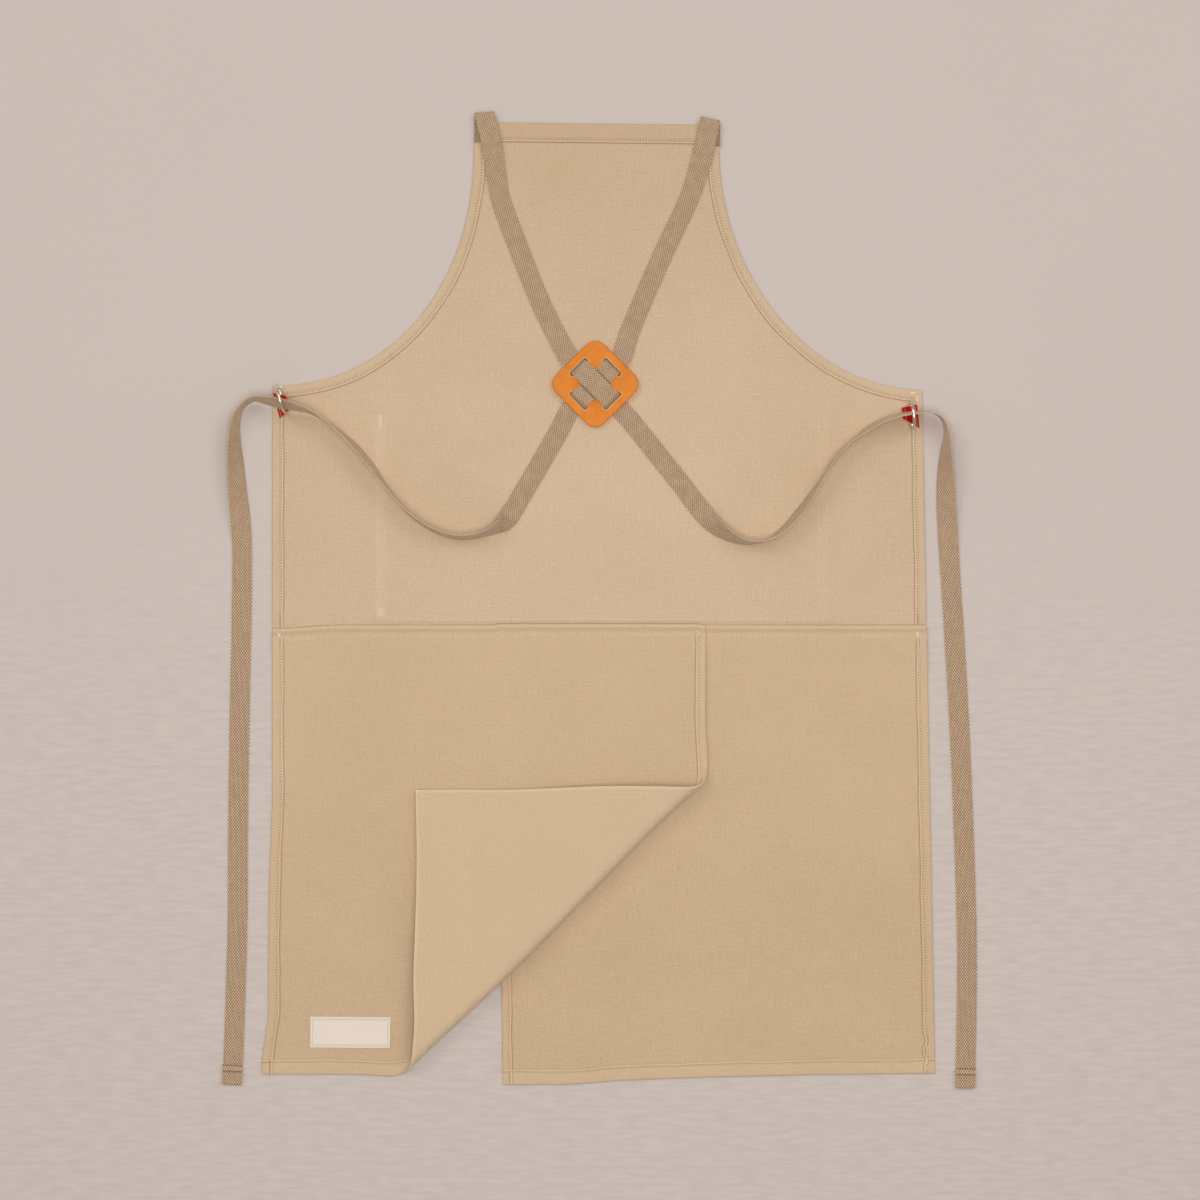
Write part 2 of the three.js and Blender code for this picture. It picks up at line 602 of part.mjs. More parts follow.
// Flat webbing carried along its stations, each with its own way across the strap
function strapGeometry(strap) {
  const { width, thickness } = WEBBING;
  const stations = strapStations(strap);
  const centres = stations.map(({ x, y, low, tilt }) => {
    const rise = (width / 2) * Math.abs(Math.sin(radians(tilt)));
    const half = (thickness / 2) * Math.abs(Math.cos(radians(tilt)));
    return new THREE.Vector3(x, y, low + rise + half);
  });
  const across = stations.map(({ lay, tilt }, k) => {
    const before = stations[Math.max(k - 1, 0)];
    const after = stations[Math.min(k + 1, stations.length - 1)];
    const heading = lay === undefined ? Math.atan2(after.y - before.y, after.x - before.x) : radians(lay);
    const level = Math.cos(radians(tilt));
    const rise = Math.sin(radians(tilt));
    return new THREE.Vector3(-Math.sin(heading) * level, Math.cos(heading) * level, rise);
  });
  const curve = new THREE.CatmullRomCurve3(centres, false, "centripetal");
  const spans = stations.length - 1;
  const sections = Array.from({ length: spans * STRAP_STEPS + 1 }, (_, k) => {
    const at = k / STRAP_STEPS;
    const station = Math.min(Math.floor(at), spans - 1);
    const centre = curve.getPoint(at / spans);
    const tangent = curve.getTangent(at / spans);
    const side = across[station].clone().lerp(across[station + 1], at - station);
    side.addScaledVector(tangent, -side.dot(tangent)).normalize();
    const up = new THREE.Vector3().crossVectors(tangent, side);
    return { centre, side, up };
  });
  const edges = (height) =>
    sections.map(({ centre, side, up }) =>
      [0.5, -0.5].map((share) =>
        centre.clone().addScaledVector(side, share * width).addScaledVector(up, height)));
  return sheetGeometry(edges(-thickness / 2), edges(thickness / 2));
}

function roundedRectangle(width, height, radius) {
  const x = width / 2 - radius;
  const y = height / 2 - radius;
  const shape = new THREE.Shape();
  shape.absarc(x, y, radius, 0, QUARTER);
  shape.absarc(-x, y, radius, QUARTER, 2 * QUARTER);
  shape.absarc(-x, -y, radius, 2 * QUARTER, 3 * QUARTER);
  shape.absarc(x, -y, radius, 3 * QUARTER, 4 * QUARTER);
  shape.closePath();
  return shape;
}

// Leather square with a slit beside each of its four sides
function keeperGeometry() {
  const shape = roundedRectangle(KEEPER.side, KEEPER.side, KEEPER.corner);
  const centre = (SLIT.inner + SLIT.outer) / 2;
  const width = SLIT.outer - SLIT.inner;
  const outline = roundedRectangle(SLIT.length, width, SLIT.corner).getPoints(3);
  for (let side = 0; side < 4; side++) {
    const turn = side * QUARTER;
    const hole = outline.map((p) =>
      new THREE.Vector2(p.x, p.y + centre).rotateAround(new THREE.Vector2(), turn));
    shape.holes.push(new THREE.Path(hole));
  }
  return new THREE.ExtrudeGeometry(shape, {
    depth: KEEPER.thickness,
    bevelEnabled: false,
    curveSegments: 6,
  });
}

// Closed line of a ring's wire: straight bar, tight corners, upright sides and a round bow
class RingLine extends THREE.Curve {
  constructor() {
    super();
    const { halfWidth, corner, height } = RING;
    this.path = new THREE.Path();
    this.path.moveTo(0, 0);
    this.path.lineTo(halfWidth - corner, 0);
    this.path.absarc(halfWidth - corner, corner, corner, -QUARTER, 0);
    this.path.absarc(0, height - halfWidth, halfWidth, 0, Math.PI);
    this.path.absarc(corner - halfWidth, corner, corner, 2 * QUARTER, 3 * QUARTER);
    this.path.lineTo(0, 0);
  }

  getPoint(t) {
    const p = this.path.getPoint(t);
    return new THREE.Vector3(0, p.x, p.y);
  }
}

// Tape tab: two feet and a hump over the ring's bar, extruded along the bar
function tabGeometry(inward) {
  const radius = RING.wire + GAP + TAB.thickness / 2;
  const footHeight = TAB.thickness / 2 - RING.wire;
  const hump = TAB_HUMP_ANGLES.map((angle) =>
    new THREE.Vector2(radius * Math.cos(radians(angle)), radius * Math.sin(radians(angle))));
  const foot = (length) => [
    new THREE.Vector2(length, footHeight),
    new THREE.Vector2(TAB.bendFrom * radius, footHeight),
    new THREE.Vector2(TAB.bendTo * radius, footHeight + TAB.bendRise),
  ];
  const mirrored = (p) => new THREE.Vector2(-p.x, p.y);
  const rightFoot = inward > 0 ? TAB.innerFoot : TAB.outerFoot;
  const leftFoot = inward > 0 ? TAB.outerFoot : TAB.innerFoot;
  const line = [...foot(rightFoot), ...hump, ...foot(leftFoot).map(mirrored).toReversed()];
  const offset = (share) =>
    line.map((p, k) => {
      const before = line[Math.max(k - 1, 0)];
      const after = line[Math.min(k + 1, line.length - 1)];
      const run = after.clone().sub(before).normalize();
      return new THREE.Vector2(p.x - run.y * share, p.y + run.x * share);
    });
  const half = TAB.thickness / 2;
  const shape = new THREE.Shape([...offset(half), ...offset(-half).toReversed()]);
  const geometry = new THREE.ExtrudeGeometry(shape, { depth: TAB.tape, bevelEnabled: false });
  // The profile stands across the bar, and the tape's width lies along it
  return geometry.translate(0, 0, -TAB.tape / 2).rotateX(QUARTER);
}

function mesh(name, geometry, finish) {
  const piece = new THREE.Mesh(geometry, new THREE.MeshStandardMaterial(FINISH[finish]));
  piece.name = name;
  return piece;
}

const apron = new THREE.Group();
apron.add(mesh("bib_panel", bibGeometry(), "canvas"));
apron.add(mesh("front_pocket", pocketGeometry(), "canvas"));
apron.add(mesh("right_leg_panel", rightLegGeometry(), "canvas"));
apron.add(mesh("left_leg_panel", leftLegGeometry(), "canvas"));

for (const strap of [STRAP_A, STRAP_B]) {
  apron.add(mesh(strap.name, strapGeometry(strap), "webbing"));
}

const keeper = mesh("cross_keeper", keeperGeometry(), "leather");
keeper.position.set(KEEPER.x, KEEPER.y, KEEPER.bottom);
keeper.rotation.z = radians(KEEPER.turn);
apron.add(keeper);

for (const { side, x, y, turn, inward } of RING_PLACES) {
  const assembly = new THREE.Group();
  assembly.position.set(x, y, 2 * CLOTH + GAP + RING.wire);
  assembly.rotation.z = radians(turn);
  const wire = new THREE.TubeGeometry(new RingLine(), RING_SIDES.along, RING.wire, RING_SIDES.around, true);
  assembly.add(mesh(`ring_${side}`, wire, "metal"));
  assembly.add(mesh(`ring_tab_${side}`, tabGeometry(inward), "tape"));
  apron.add(assembly);
}

const labelShape = roundedRectangle(LABEL.width, LABEL.height, LABEL.corner);
const labelSheet = new THREE.ExtrudeGeometry(labelShape, {
  depth: CLOTH,
  bevelEnabled: false,
  curveSegments: 3,
});
const label = mesh("care_label", labelSheet, "label");
label.position.set(LABEL.x, LABEL.y, CLOTH + GAP);
label.rotation.z = radians(LABEL.turn);
apron.add(label);

export default apron;
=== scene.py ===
"""Looks of a canvas work apron that lies face down: hemmed panels, webbing straps, leather keeper,
rings on tape tabs, a bare label and the stitches. Shapes are worked out in millimetres."""

import bpy
import numpy as np
from mathutils.geometry import tessellate_polygon
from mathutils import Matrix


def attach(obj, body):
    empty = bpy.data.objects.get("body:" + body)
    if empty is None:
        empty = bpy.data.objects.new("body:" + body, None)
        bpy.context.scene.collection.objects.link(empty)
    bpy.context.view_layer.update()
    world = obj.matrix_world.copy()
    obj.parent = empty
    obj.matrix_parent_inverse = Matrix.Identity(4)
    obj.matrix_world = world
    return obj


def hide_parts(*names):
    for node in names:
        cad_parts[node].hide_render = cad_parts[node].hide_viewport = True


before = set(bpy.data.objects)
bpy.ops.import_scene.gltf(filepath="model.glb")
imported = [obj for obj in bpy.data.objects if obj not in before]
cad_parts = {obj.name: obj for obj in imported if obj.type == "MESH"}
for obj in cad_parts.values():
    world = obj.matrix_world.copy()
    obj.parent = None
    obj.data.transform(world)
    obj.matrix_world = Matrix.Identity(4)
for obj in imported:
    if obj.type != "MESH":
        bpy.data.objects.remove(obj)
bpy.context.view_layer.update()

MM = 0.001
CLOTH = 1.0  # thickness of the canvas
GAP = 0.3  # between layers that are sewn together
FAR = 99.0  # stands for any distance past the hems

# Widths of the hems
SIDE_HEM = 11.0
TOP_HEM = 19.0
BOTTOM_HEM = 14.5
RIGHT_INNER_HEM = 9.5
LEFT_INNER_HEM = 10.0
# Looks of a hem: its stitch row's distance from the inner edge, the painted shade in the gaps of that row
# and along the foot of the inner edge, the painted highlight along the fold, and the tone of the hem on a
# leg
PLAIN_HEM = dict(inset=2.8, row=1.3, foot=1.0, fold=0.7, tone=-0.12)
HEM_LOOKS = {
    BOTTOM_HEM: dict(inset=1.7, row=2.0, foot=0.45, fold=1.3, tone=-0.3),
    LEFT_INNER_HEM: dict(PLAIN_HEM, tone=-0.25),
}
GROOVE = 0.32  # depth of the groove that a stitch row pulls into a hem
EDGE_STEPS = np.array([0, 0.06, 0.25, 0.6, 1.0, 1.8])
FACE_TONE = -0.45  # the cloth's face is a little paler than its back

# Stitches: pitch and length in the hems, and the tangle at the end of a row
PITCH = 2.8
STITCH = 1.7
BOTTOM_STITCH = 1.25
KNOT = dict(length=5.5, width=1.0, sunk=0.2, headings=(65, 125))

# Bib
BIB_BOTTOM = -39.0
BIB_LEFT = -327.5
BIB_RIGHT = 326.0
BIB_TOP_LEFT = 477.5
BIB_TOP_RIGHT = 475.0
ARMHOLE_TOP = 450.0
# corner x, corner y, top x, power of the superellipse, and which way is inwards
LEFT_ARMHOLE = dict(corner_x=BIB_LEFT, corner_y=214.0, top_x=-126.0, power=2.1, inward=1)
RIGHT_ARMHOLE = dict(corner_x=322.0, corner_y=210.0, top_x=119.0, power=1.95, inward=-1)
# Tones of the cloth: dark above 0 and pale below. waist is painted shade on the bib along the legs' raised
# top edge, top is painted shade and middle is painted light, where the light falls off from the middle
BIB_TONES = dict(waist=0.9, pocket_strip=-0.2, pocket_row=-0.35, top_hem=0.16, top=0.14, middle=-0.18)
MITRE = 25.0  # run over which a hem's direction turns into the corner's mitre
POCKET = dict(left=-225.0, right=226.0, bottom=-16.0, top=186.0)
POCKET_ROWS = (-219.5, 222.0)  # middle of each pair of seam rows
POCKET_STITCH = dict(half=3.8, below=4.0, pitch=2.6, up=2.2, across=1.6, sunk=0.05, right_sunk=0.3)

# Skirt
WAIST = -25.3
WAIST_LIFT = 1.5
WAIST_ROW = dict(below=10.7, pitch=2.5, width=6.0)
# Tones of the cloth, as on the bib: painted shade in the waist strip's hollow and a painted highlight along
# its fold, painted light on the upper leg, a painted shadow beside the flap, and on the face painted shade
# in the stitch rows and a painted highlight along the rim
LEG_TONES = dict(hollow=0.45, fold=-0.45, upper=-0.2, flap_shadow=0.35, face_row_shade=0.45, face_rim_highlight=-0.75)
RIGHT_LOWEST = -484.5  # y of the right leg's lowest point
RIGHT_INNER = (-103.0, -97.0)  # x at the waist and at the lower hem
RIGHT_OUTER = (326.5, 335.0)
RIGHT_HEM_LINE = np.array([
    [-103, -484.5], [-33, -484.2], [23, -480], [71, -478], [135, -476], [199, -474.5], [335, -473],
])
LEFT_BOTTOM = -474.0
LEFT_INNER = 105.5
LEFT_SIDE_LINE = np.array([
    [-480, -338], [-460, -338], [-440, -335], [-415, -331.5], [-290, -331], [-200, -327.5], [-20, -327.5],
])

# Fold of the left leg's corner: where its corner lies flat and where it comes to lie
CORNER = np.array([LEFT_INNER, LEFT_BOTTOM])
TURNED = np.array([-184.5, -189.5])
ROLL = dict(radius=8.0, wider=1.5, wider_from=130.0, wider_to=205.0, settle=150.0, rest=4.2)
TUCK = dict(by=1.9, less=4.9, flap=150.0, lying=30.0)  # draws the roll back, less at its wider end
BEND = dict(by=5.5, start=40.0, stop=180.0, power=1.3)  # the fold line bends up towards the lower hem

# Soft ridges in the cloth: x, y, heading in degrees, half length, half width and height
BIB_RIDGES = np.array([
    [-318, 3, 90, 16, 5, 0.5], [-321, 95, 90, 22, 4, 0.25], [317, 60, 90, 20, 4, 0.25],
])
RIGHT_RIDGES = np.array([
    [300, -52, 155, 34, 7, 1.0], [318, -58, 120, 18, 6, 0.8], [280, -40, 165, 40, 6, 0.6],
    [318, -156, 100, 14, 6, 0.9], [318, -252, 80, 14, 6, 0.9], [319, -346, 95, 14, 6, 0.8],
    [322, -432, 90, 12, 5, 0.9], [210, -245, 172, 60, 12, 0.7], [240, -330, 8, 80, 16, 0.6],
    [80, -420, 5, 90, 18, 0.6], [20, -330, 60, 70, 16, 0.5],
])
LEFT_RIDGES = np.array([
    [-295, -70, 50, 26, 6, 0.8], [-312, -92, 60, 16, 5, 0.7], [-316, -182, 90, 12, 5, 0.7],
    [-318, -300, 95, 14, 5, 0.7], [-250, -130, 20, 50, 14, 0.5], [-255, -330, 80, 60, 18, 0.5],
    [-30, -110, 5, 70, 14, 0.5],
])

# Straps: rows of x, y, height of the lowest edge, and tilt that turns the left edge up, in degrees.
# The rows to the keeper have no tilt, and the lying ones neither tilt nor height.
WEBBING = dict(width=20.0, thickness=1.4, fold_radius=1.15)
FLOOR_REST = 0.15
STRAP_A = dict(
    sewn=dict(x=-115.7, start=457.5, fold=486.5, low_lay=-90.0, top_lay=-85.0),
    to_keeper=[
        [-110.7, 467, 4.6], [-108.3, 454, 4.3], [-105.5, 438, 2.9], [-102.6, 418, 1.7],
        [-99, 400, 1.3], [-80.5, 350, 1.3], [-60.5, 300, 1.3], [-43.5, 265, 1.5],
    ],
    heading=-45.0,
    over=9.0,
    to_floor=[
        [30, 180, 2.6, 0], [46, 160, 2.6, 0], [62, 140, 2.6, 0], [78, 120, 2.6, 0],
        [91.5, 102, 2.6, 2], [102, 88, 2.7, 12], [113.5, 75, 2.7, 34], [128, 64.5, 2.7, 58],
        [146, 57.5, 2.7, 77], [163, 59, 2.7, 91], [180, 68, 2.7, 104], [198, 87, 2.7, 111],
        [215, 111, 2.7, 101], [232, 136, 2.7, 84], [250, 157, 2.0, 90], [270, 172.3, 2.6, 105],
        [290, 181.8, 5.2, 103], [313, 186.2, 7.0, 100], [330, 186.4, 5.0, 95], [340.5, 181, 2.2, 90],
        [345.6, 168, 0.4, 82], [345.2, 150, 0.2, 63], [345, 127, 0.2, 40], [345.7, 100, 0.2, 22],
        [348, 60, 0.2, 6],
    ],
    lying=[
        [350, 30], [354.5, -40], [360, -140], [364, -240], [366.8, -340], [366.3, -430],
    ],
    end=dict(x=365.0, y=-487.3, lay=-91.0, back=19.0),
)
STRAP_B = dict(
    sewn=dict(x=110.2, start=453.5, fold=480.0, low_lay=-92.0, top_lay=-105.0),
    to_keeper=[
        [107.2, 463, 4.6], [104, 450, 4.3], [99.8, 434, 2.9], [94.2, 416, 1.7],
        [88.5, 400, 1.3], [65, 350, 1.3], [43, 300, 1.3], [28.5, 265, 1.5],
    ],
    heading=-135.0,
    over=7.3,
    to_floor=[
        [-40, 171, 2.6, 0], [-57.5, 140, 2.6, 0], [-75, 110, 2.6, 0], [-85, 93, 2.8, 0],
        [-91, 83, 3.0, -14], [-98, 75, 2.7, -50], [-109, 68.5, 2.7, -72], [-125, 63.5, 2.7, -78],
        [-142, 62.5, 2.7, -78], [-160, 67, 2.7, -79], [-178, 76.5, 2.7, -82], [-196, 91.5, 2.7, -86],
        [-212, 111, 2.7, -94], [-228, 134, 2.7, -106], [-244, 153, 2.4, -106], [-258, 166.5, 1.8, -98],
        [-272, 177, 2.2, -89], [-288, 187, 4.8, -81], [-303, 192, 6.6, -72],
        [-317.5, 195.2, 7.2, -59], [-332, 198.5, 5.5, -69], [-346, 199.8, 3.0, -79],
        [-357, 192.5, 1.0, -80], [-363.3, 178, 0.2, -68], [-364.8, 160, 0.2, -57],
        [-363.7, 135, 0.2, -40], [-362, 110, 0.2, -28], [-359.7, 85, 0.2, -14], [-358, 55, 0.2, 0],
    ],
    lying=[
        [-357.9, 25], [-358.5, -25], [-360.3, -115], [-362, -240], [-362.3, -315], [-364.7, -405],
        [-366.5, -455],
    ],
    end=dict(x=-368.0, y=-484.0, lay=-93.0, back=19.0),
)
# Marks on the webbing: dark above 0 and pale below. The marks at the cut end, on the sewn end and beside
# the crossing strap are painted shade, and the one where the strap stands on edge is painted light
MARKS = dict(row=0.65, cut_end_shade=0.6, bar=-0.35, on_edge_light=-1.5, sewn=0.35, beside=0.6)
STRAP_STITCH = dict(sections=(-7, 6), reach=8.5, pitch=2.6, half=0.95, stand=0.72)
PICK = 3.6  # length of one float of the webbing's weave
RIB = 1.25  # width of one rib of the webbing's weave

# Keeper, rings, tabs and label
KEEPER = dict(x=-4.6, y=215.6, turn=45.0, side=68.0, corner=13.0, thickness=2.5, bottom=4.5, bevel=1.1)
SLIT = dict(length=23.0, inner=21.4, outer=26.0, corner=1.8)
THREADING = dict(lead=12.4, level=4.6, slope=1.9, dip=0.1, clearance=0.5)
RING = dict(wire=1.5, half_width=12.5, corner=2.2, height=24.9)
TAB = dict(tape=20.0, thickness=1.0, outer_foot=7.0, sections=60)
TAB_STITCH = dict(sections=(4, 55), low=1.6, high=1.2, pitch=2.2, half=0.9)
RING_PLACES = dict(
    left=dict(
        x=-317.5, y=199.5, turn=15.0, inward=1, inner_foot=5.0, outer=(-16.5, 9.5), inner=(-11.0, 3.0),
    ),
    right=dict(
        x=310.8, y=184.0, turn=6.0, inward=-1, inner_foot=8.5, outer=(-13.0, 10.5), inner=(-2.0, 9.0),
    ),
)
LABEL = dict(x=-249.6, y=-432.1, width=80.0, height=31.0, turn=-0.4, thickness=0.6, row=2.5)


def ramp(value, start, stop):
    """Share of the way from start to stop, from 0 to 1."""
    return np.clip((value - start) / (stop - start), 0, 1)


def smooth(value, start, stop):
    """As ramp, with a level start and stop."""
    share = ramp(value, start, stop)
    return share * share * (3 - 2 * share)


def plateau(value, low, up, down, high):
    """1 from up to down, with level-ended slopes to 0 at low and high."""
    return smooth(value, low, up) * (1 - smooth(value, down, high))


def bell(away, width):
    """Bell curve: 1 where away is 0, fading over the width."""
    return np.exp(-((away / width) ** 2))


def lerp(a, b, share):
    return a + (b - a) * share


def unit(vectors):
    return vectors / np.linalg.norm(vectors, axis=-1, keepdims=True)


def join(x, y, z):
    return np.stack(np.broadcast_arrays(x, y, z), -1)


def turned(x, y, degrees):
    """Plane coordinates turned to the left."""
    c = np.cos(np.radians(degrees))
    s = np.sin(np.radians(degrees))
    return x * c - y * s, x * s + y * c


def ridges(x, y, table):
    """Sum of soft ridges: each a bell across its heading that fades along it."""
    total = np.zeros_like(x)
    for cx, cy, heading, length, width, height in table:
        along, across = turned(x - cx, y - cy, -heading)
        total += height * np.exp(-((along / length) ** 2) - (across / width) ** 2)
    return total


def waves(x, y):
    """Low waves of cloth that lies flat, from 0 to 1: a few long sines in different directions."""
    a = np.sin(x / 47 + 0.6 * np.sin(y / 83))
    b = np.sin(y / 61 + 0.8 * np.sin(x / 97) + 1.3)
    c = np.sin((x + 1.3 * y) / 71 + 0.4)
    return 0.5 + (a + b + c) / 6


def hem_look(width):
    return HEM_LOOKS.get(width, PLAIN_HEM)


def stitch_row(width):
    """Distance of a hem's stitch row from the edge."""
    return width - hem_look(width)["inset"]


def hem_steps(width):
    """Distances from an edge: close together round the edge, the stitch row and the hem's inner edge."""
    row = stitch_row(width)
    middle = np.linspace(EDGE_STEPS[-1], row - 0.8, max(3, int(row / 1.9)))[1:-1]
    stitched = row + np.array([-0.8, -0.4, 0, 0.4])
    inner = width + np.array([-0.95, -0.6, -0.25, 0, 0.25, 0.6, 1.2, 2.2, 4.0])
    return np.concatenate([EDGE_STEPS, middle, stitched, inner])


def wander(run, steps=8.0):
    """Small sideways wander of a sewn hem along its run, nothing at the edge and full at the stitches."""
    full = 0.3 * np.sin(run / 16.5) + 0.2 * np.sin(run / 7.3 + 1.0)
    return full * smooth(steps, 3, 8)


def hem_painted_light(distance, width):
    """Painted light of a hem over its distance from the edge: above 0, painted shade along the foot of its
    inner edge and in the gaps of its stitch row, and below 0, a painted highlight along its fold."""
    look = hem_look(width)
    foot = look["foot"] * bell(distance - width - 0.35, 0.6)
    row = look["row"] * bell(distance - stitch_row(width), 0.6)
    fold = look["fold"] * bell(distance - width + 0.7, 0.6)
    return foot + row - fold


def stronger(a, b):
    """The value further from 0."""
    return np.where(np.abs(a) > np.abs(b), a, b)


def hem_layer(distance, width):
    """Height of a hem's second layer over its distance from the edge: a step down at the inner edge,
    a little fuller in the middle, with a groove under the stitch row."""
    layer = 1 - smooth(distance, width - 0.3, width + 0.3)
    full = 0.22 * np.sin(np.pi * np.clip(distance / width, 0, 1)) ** 2
    groove = GROOVE * bell(distance - stitch_row(width), 0.7)
    return layer * (CLOTH + full - groove)


def round_edge(distance, radius):
    """Quarter circle from 0 at the edge to 1 at that radius inside it."""
    return np.sqrt(1 - (1 - np.clip(distance / radius, 0, 1)) ** 2)


def make_piece(name, points, polygons, slot, replaces=(), uv=None, fields=(), flat_after=None):
    """Mesh piece from points in millimetres and arrays of polygons. Polygons from flat_after on are
    shaded flat, and the others smooth."""
    mesh = bpy.data.meshes.new(name)
    corners = np.concatenate([p.ravel() for p in polygons]).astype(np.int32)
    sizes = np.concatenate([np.full(len(p), p.shape[1]) for p in polygons])
    starts = np.concatenate([[0], np.cumsum(sizes)[:-1]]).astype(np.int32)
    shading = np.ones(len(sizes), bool)
    if flat_after is not None:
        shading[flat_after:] = False
    mesh.vertices.add(len(points))
    mesh.vertices.foreach_set("co", (points * MM).astype(np.float32).ravel())
    mesh.loops.add(len(corners))
    mesh.loops.foreach_set("vertex_index", corners)
    mesh.polygons.add(len(sizes))
    mesh.polygons.foreach_set("loop_start", starts)
    mesh.polygons.foreach_set("use_smooth", shading)
    if uv is not None:
        layer = mesh.uv_layers.new(name="cloth")
        layer.data.foreach_set("uv", uv[corners].astype(np.float32).ravel())
    for field, values in dict(fields).items():
        mesh.attributes.new(field, "FLOAT", "POINT").data.foreach_set("value", values.astype(np.float32))
    mesh.update(calc_edges=True)
    mesh.validate()
    piece = bpy.data.objects.new(name, mesh)
    bpy.context.scene.collection.objects.link(piece)
    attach(piece, "root")
    if replaces:
        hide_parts(*replaces)
    return piece


def grid_quads(ids):
    """Quads between the neighbours of a grid of point numbers."""
    return np.stack([ids[:-1, :-1], ids[:-1, 1:], ids[1:, 1:], ids[1:, :-1]], -1).reshape(-1, 4)


def both_sides(values):
    """A grid's values for the back, then for the inner points of the face."""
    tail = values.shape[2:]
    return np.concatenate([values.reshape(-1, *tail), values[1:-1, 1:-1].reshape(-1, *tail)])


def sheet_mesh(back, face):
    """Closed sheet from two grids of points that have their border in common."""
    rows, columns = back.shape[:2]
    upper = np.arange(rows * columns).reshape(rows, columns)
    lower = upper.copy()
    inner = (rows - 2) * (columns - 2)
    lower[1:-1, 1:-1] = rows * columns + np.arange(inner).reshape(rows - 2, columns - 2)
    points = np.concatenate([back.reshape(-1, 3), face[1:-1, 1:-1].reshape(-1, 3)])
    return points, np.concatenate([grid_quads(upper), grid_quads(lower)[:, ::-1]])


def cloth_panel(name, node, x, y, thick, edge, place, tone_and_painted_light, slot="canvas", face_painted_light=0):
    """Cloth between its face and its back, which lie half its thickness to either side of its middle
    and meet in rounded edges. place carries flat coordinates and a height into space."""
    back = place(x, y, thick * (1 + edge) / 2)
    face = place(x, y, thick * (1 - edge) / 2)
    points, quads = sheet_mesh(back, face)
    uv = both_sides(np.stack([x, y], -1)) * MM + 0.5
    # the face's own paler tone, plus the painted shade and highlights given for the face
    face_tone = np.broadcast_to(FACE_TONE + face_painted_light, x.shape)[1:-1, 1:-1]
    tones = np.concatenate([tone_and_painted_light.ravel(), face_tone.ravel()])
    return make_piece(name, points, [quads], slot, [node], uv, {"tone_and_painted_light": tones})


def pocket_lift(x, y):
    """Height of the bib's face over the pocket, with soft slopes beside it."""
    left = smooth(x, POCKET["left"] - 19, POCKET["left"] - 3)
    right = 1 - smooth(x, POCKET["right"] + 3, POCKET["right"] + 19)
    below = smooth(y, POCKET["bottom"] - 9, POCKET["bottom"] - 3)
    above = 1 - smooth(y, POCKET["top"] + 3, POCKET["top"] + 19)
    return (CLOTH + GAP) * np.minimum(np.minimum(left, right), np.minimum(below, above))


def bib_place(x, y, height):
    return join(x, y, pocket_lift(x, y) + 0.2 * waves(x, y) + ridges(x, y, BIB_RIDGES) + height)


def armhole_line(armhole, angle):
    """Points of an armhole and the directions into the cloth: a superellipse from the side corner,
    at a right angle, up to the narrow top at angle 0. The hem's direction turns into the mitre."""
    power = armhole["power"]
    width = armhole["top_x"] - armhole["corner_x"]
    depth = ARMHOLE_TOP - armhole["corner_y"]
    across = np.clip(np.cos(angle), 0, 1) ** (2 / power)
    down = np.sin(angle) ** (2 / power)
    place = np.stack([armhole["corner_x"] + width * across, ARMHOLE_TOP - depth * down], -1)
    inward = unit(np.stack([across ** (power - 1) / width, -(down ** (power - 1)) / depth], -1))
    run = np.abs(place[:, 0] - armhole["corner_x"])
    mitre = 1 - smooth(run, 0, MITRE)[:, None]
    return place, lerp(inward, np.array([armhole["inward"], -1.0]), mitre)


def side_line(armhole, x, y):
    """Points of a straight side, with the hem's direction turning into the mitre at its top."""
    mitre = smooth(y, armhole["corner_y"] - MITRE, armhole["corner_y"])
    return np.stack([x, y], -1), np.stack([np.full_like(y, armhole["inward"]), -mitre], -1)


def bib_right_x(y):
    return lerp(BIB_RIGHT, RIGHT_ARMHOLE["corner_x"], ramp(y, 0, RIGHT_ARMHOLE["corner_y"]))


def bib_edges(side_share, angle, below_top):
    """Both edges of the bib's rows: up the sides, round the armholes and up to the top edge."""
    edges = []
    for armhole, top in ((LEFT_ARMHOLE, BIB_TOP_LEFT), (RIGHT_ARMHOLE, BIB_TOP_RIGHT)):
        y = lerp(BIB_BOTTOM, armhole["corner_y"], side_share)
        x = np.full_like(y, BIB_LEFT) if armhole["inward"] > 0 else bib_right_x(y)
        side, side_in = side_line(armhole, x, y)
        curve, curve_in = armhole_line(armhole, angle)
        neck = np.stack([np.full_like(below_top, armhole["top_x"]), top - below_top], -1)
        neck_in = np.tile([armhole["inward"], 0.0], (len(below_top), 1))
        edges.append((np.concatenate([side, curve, neck]), np.concatenate([side_in, curve_in, neck_in])))
    return edges


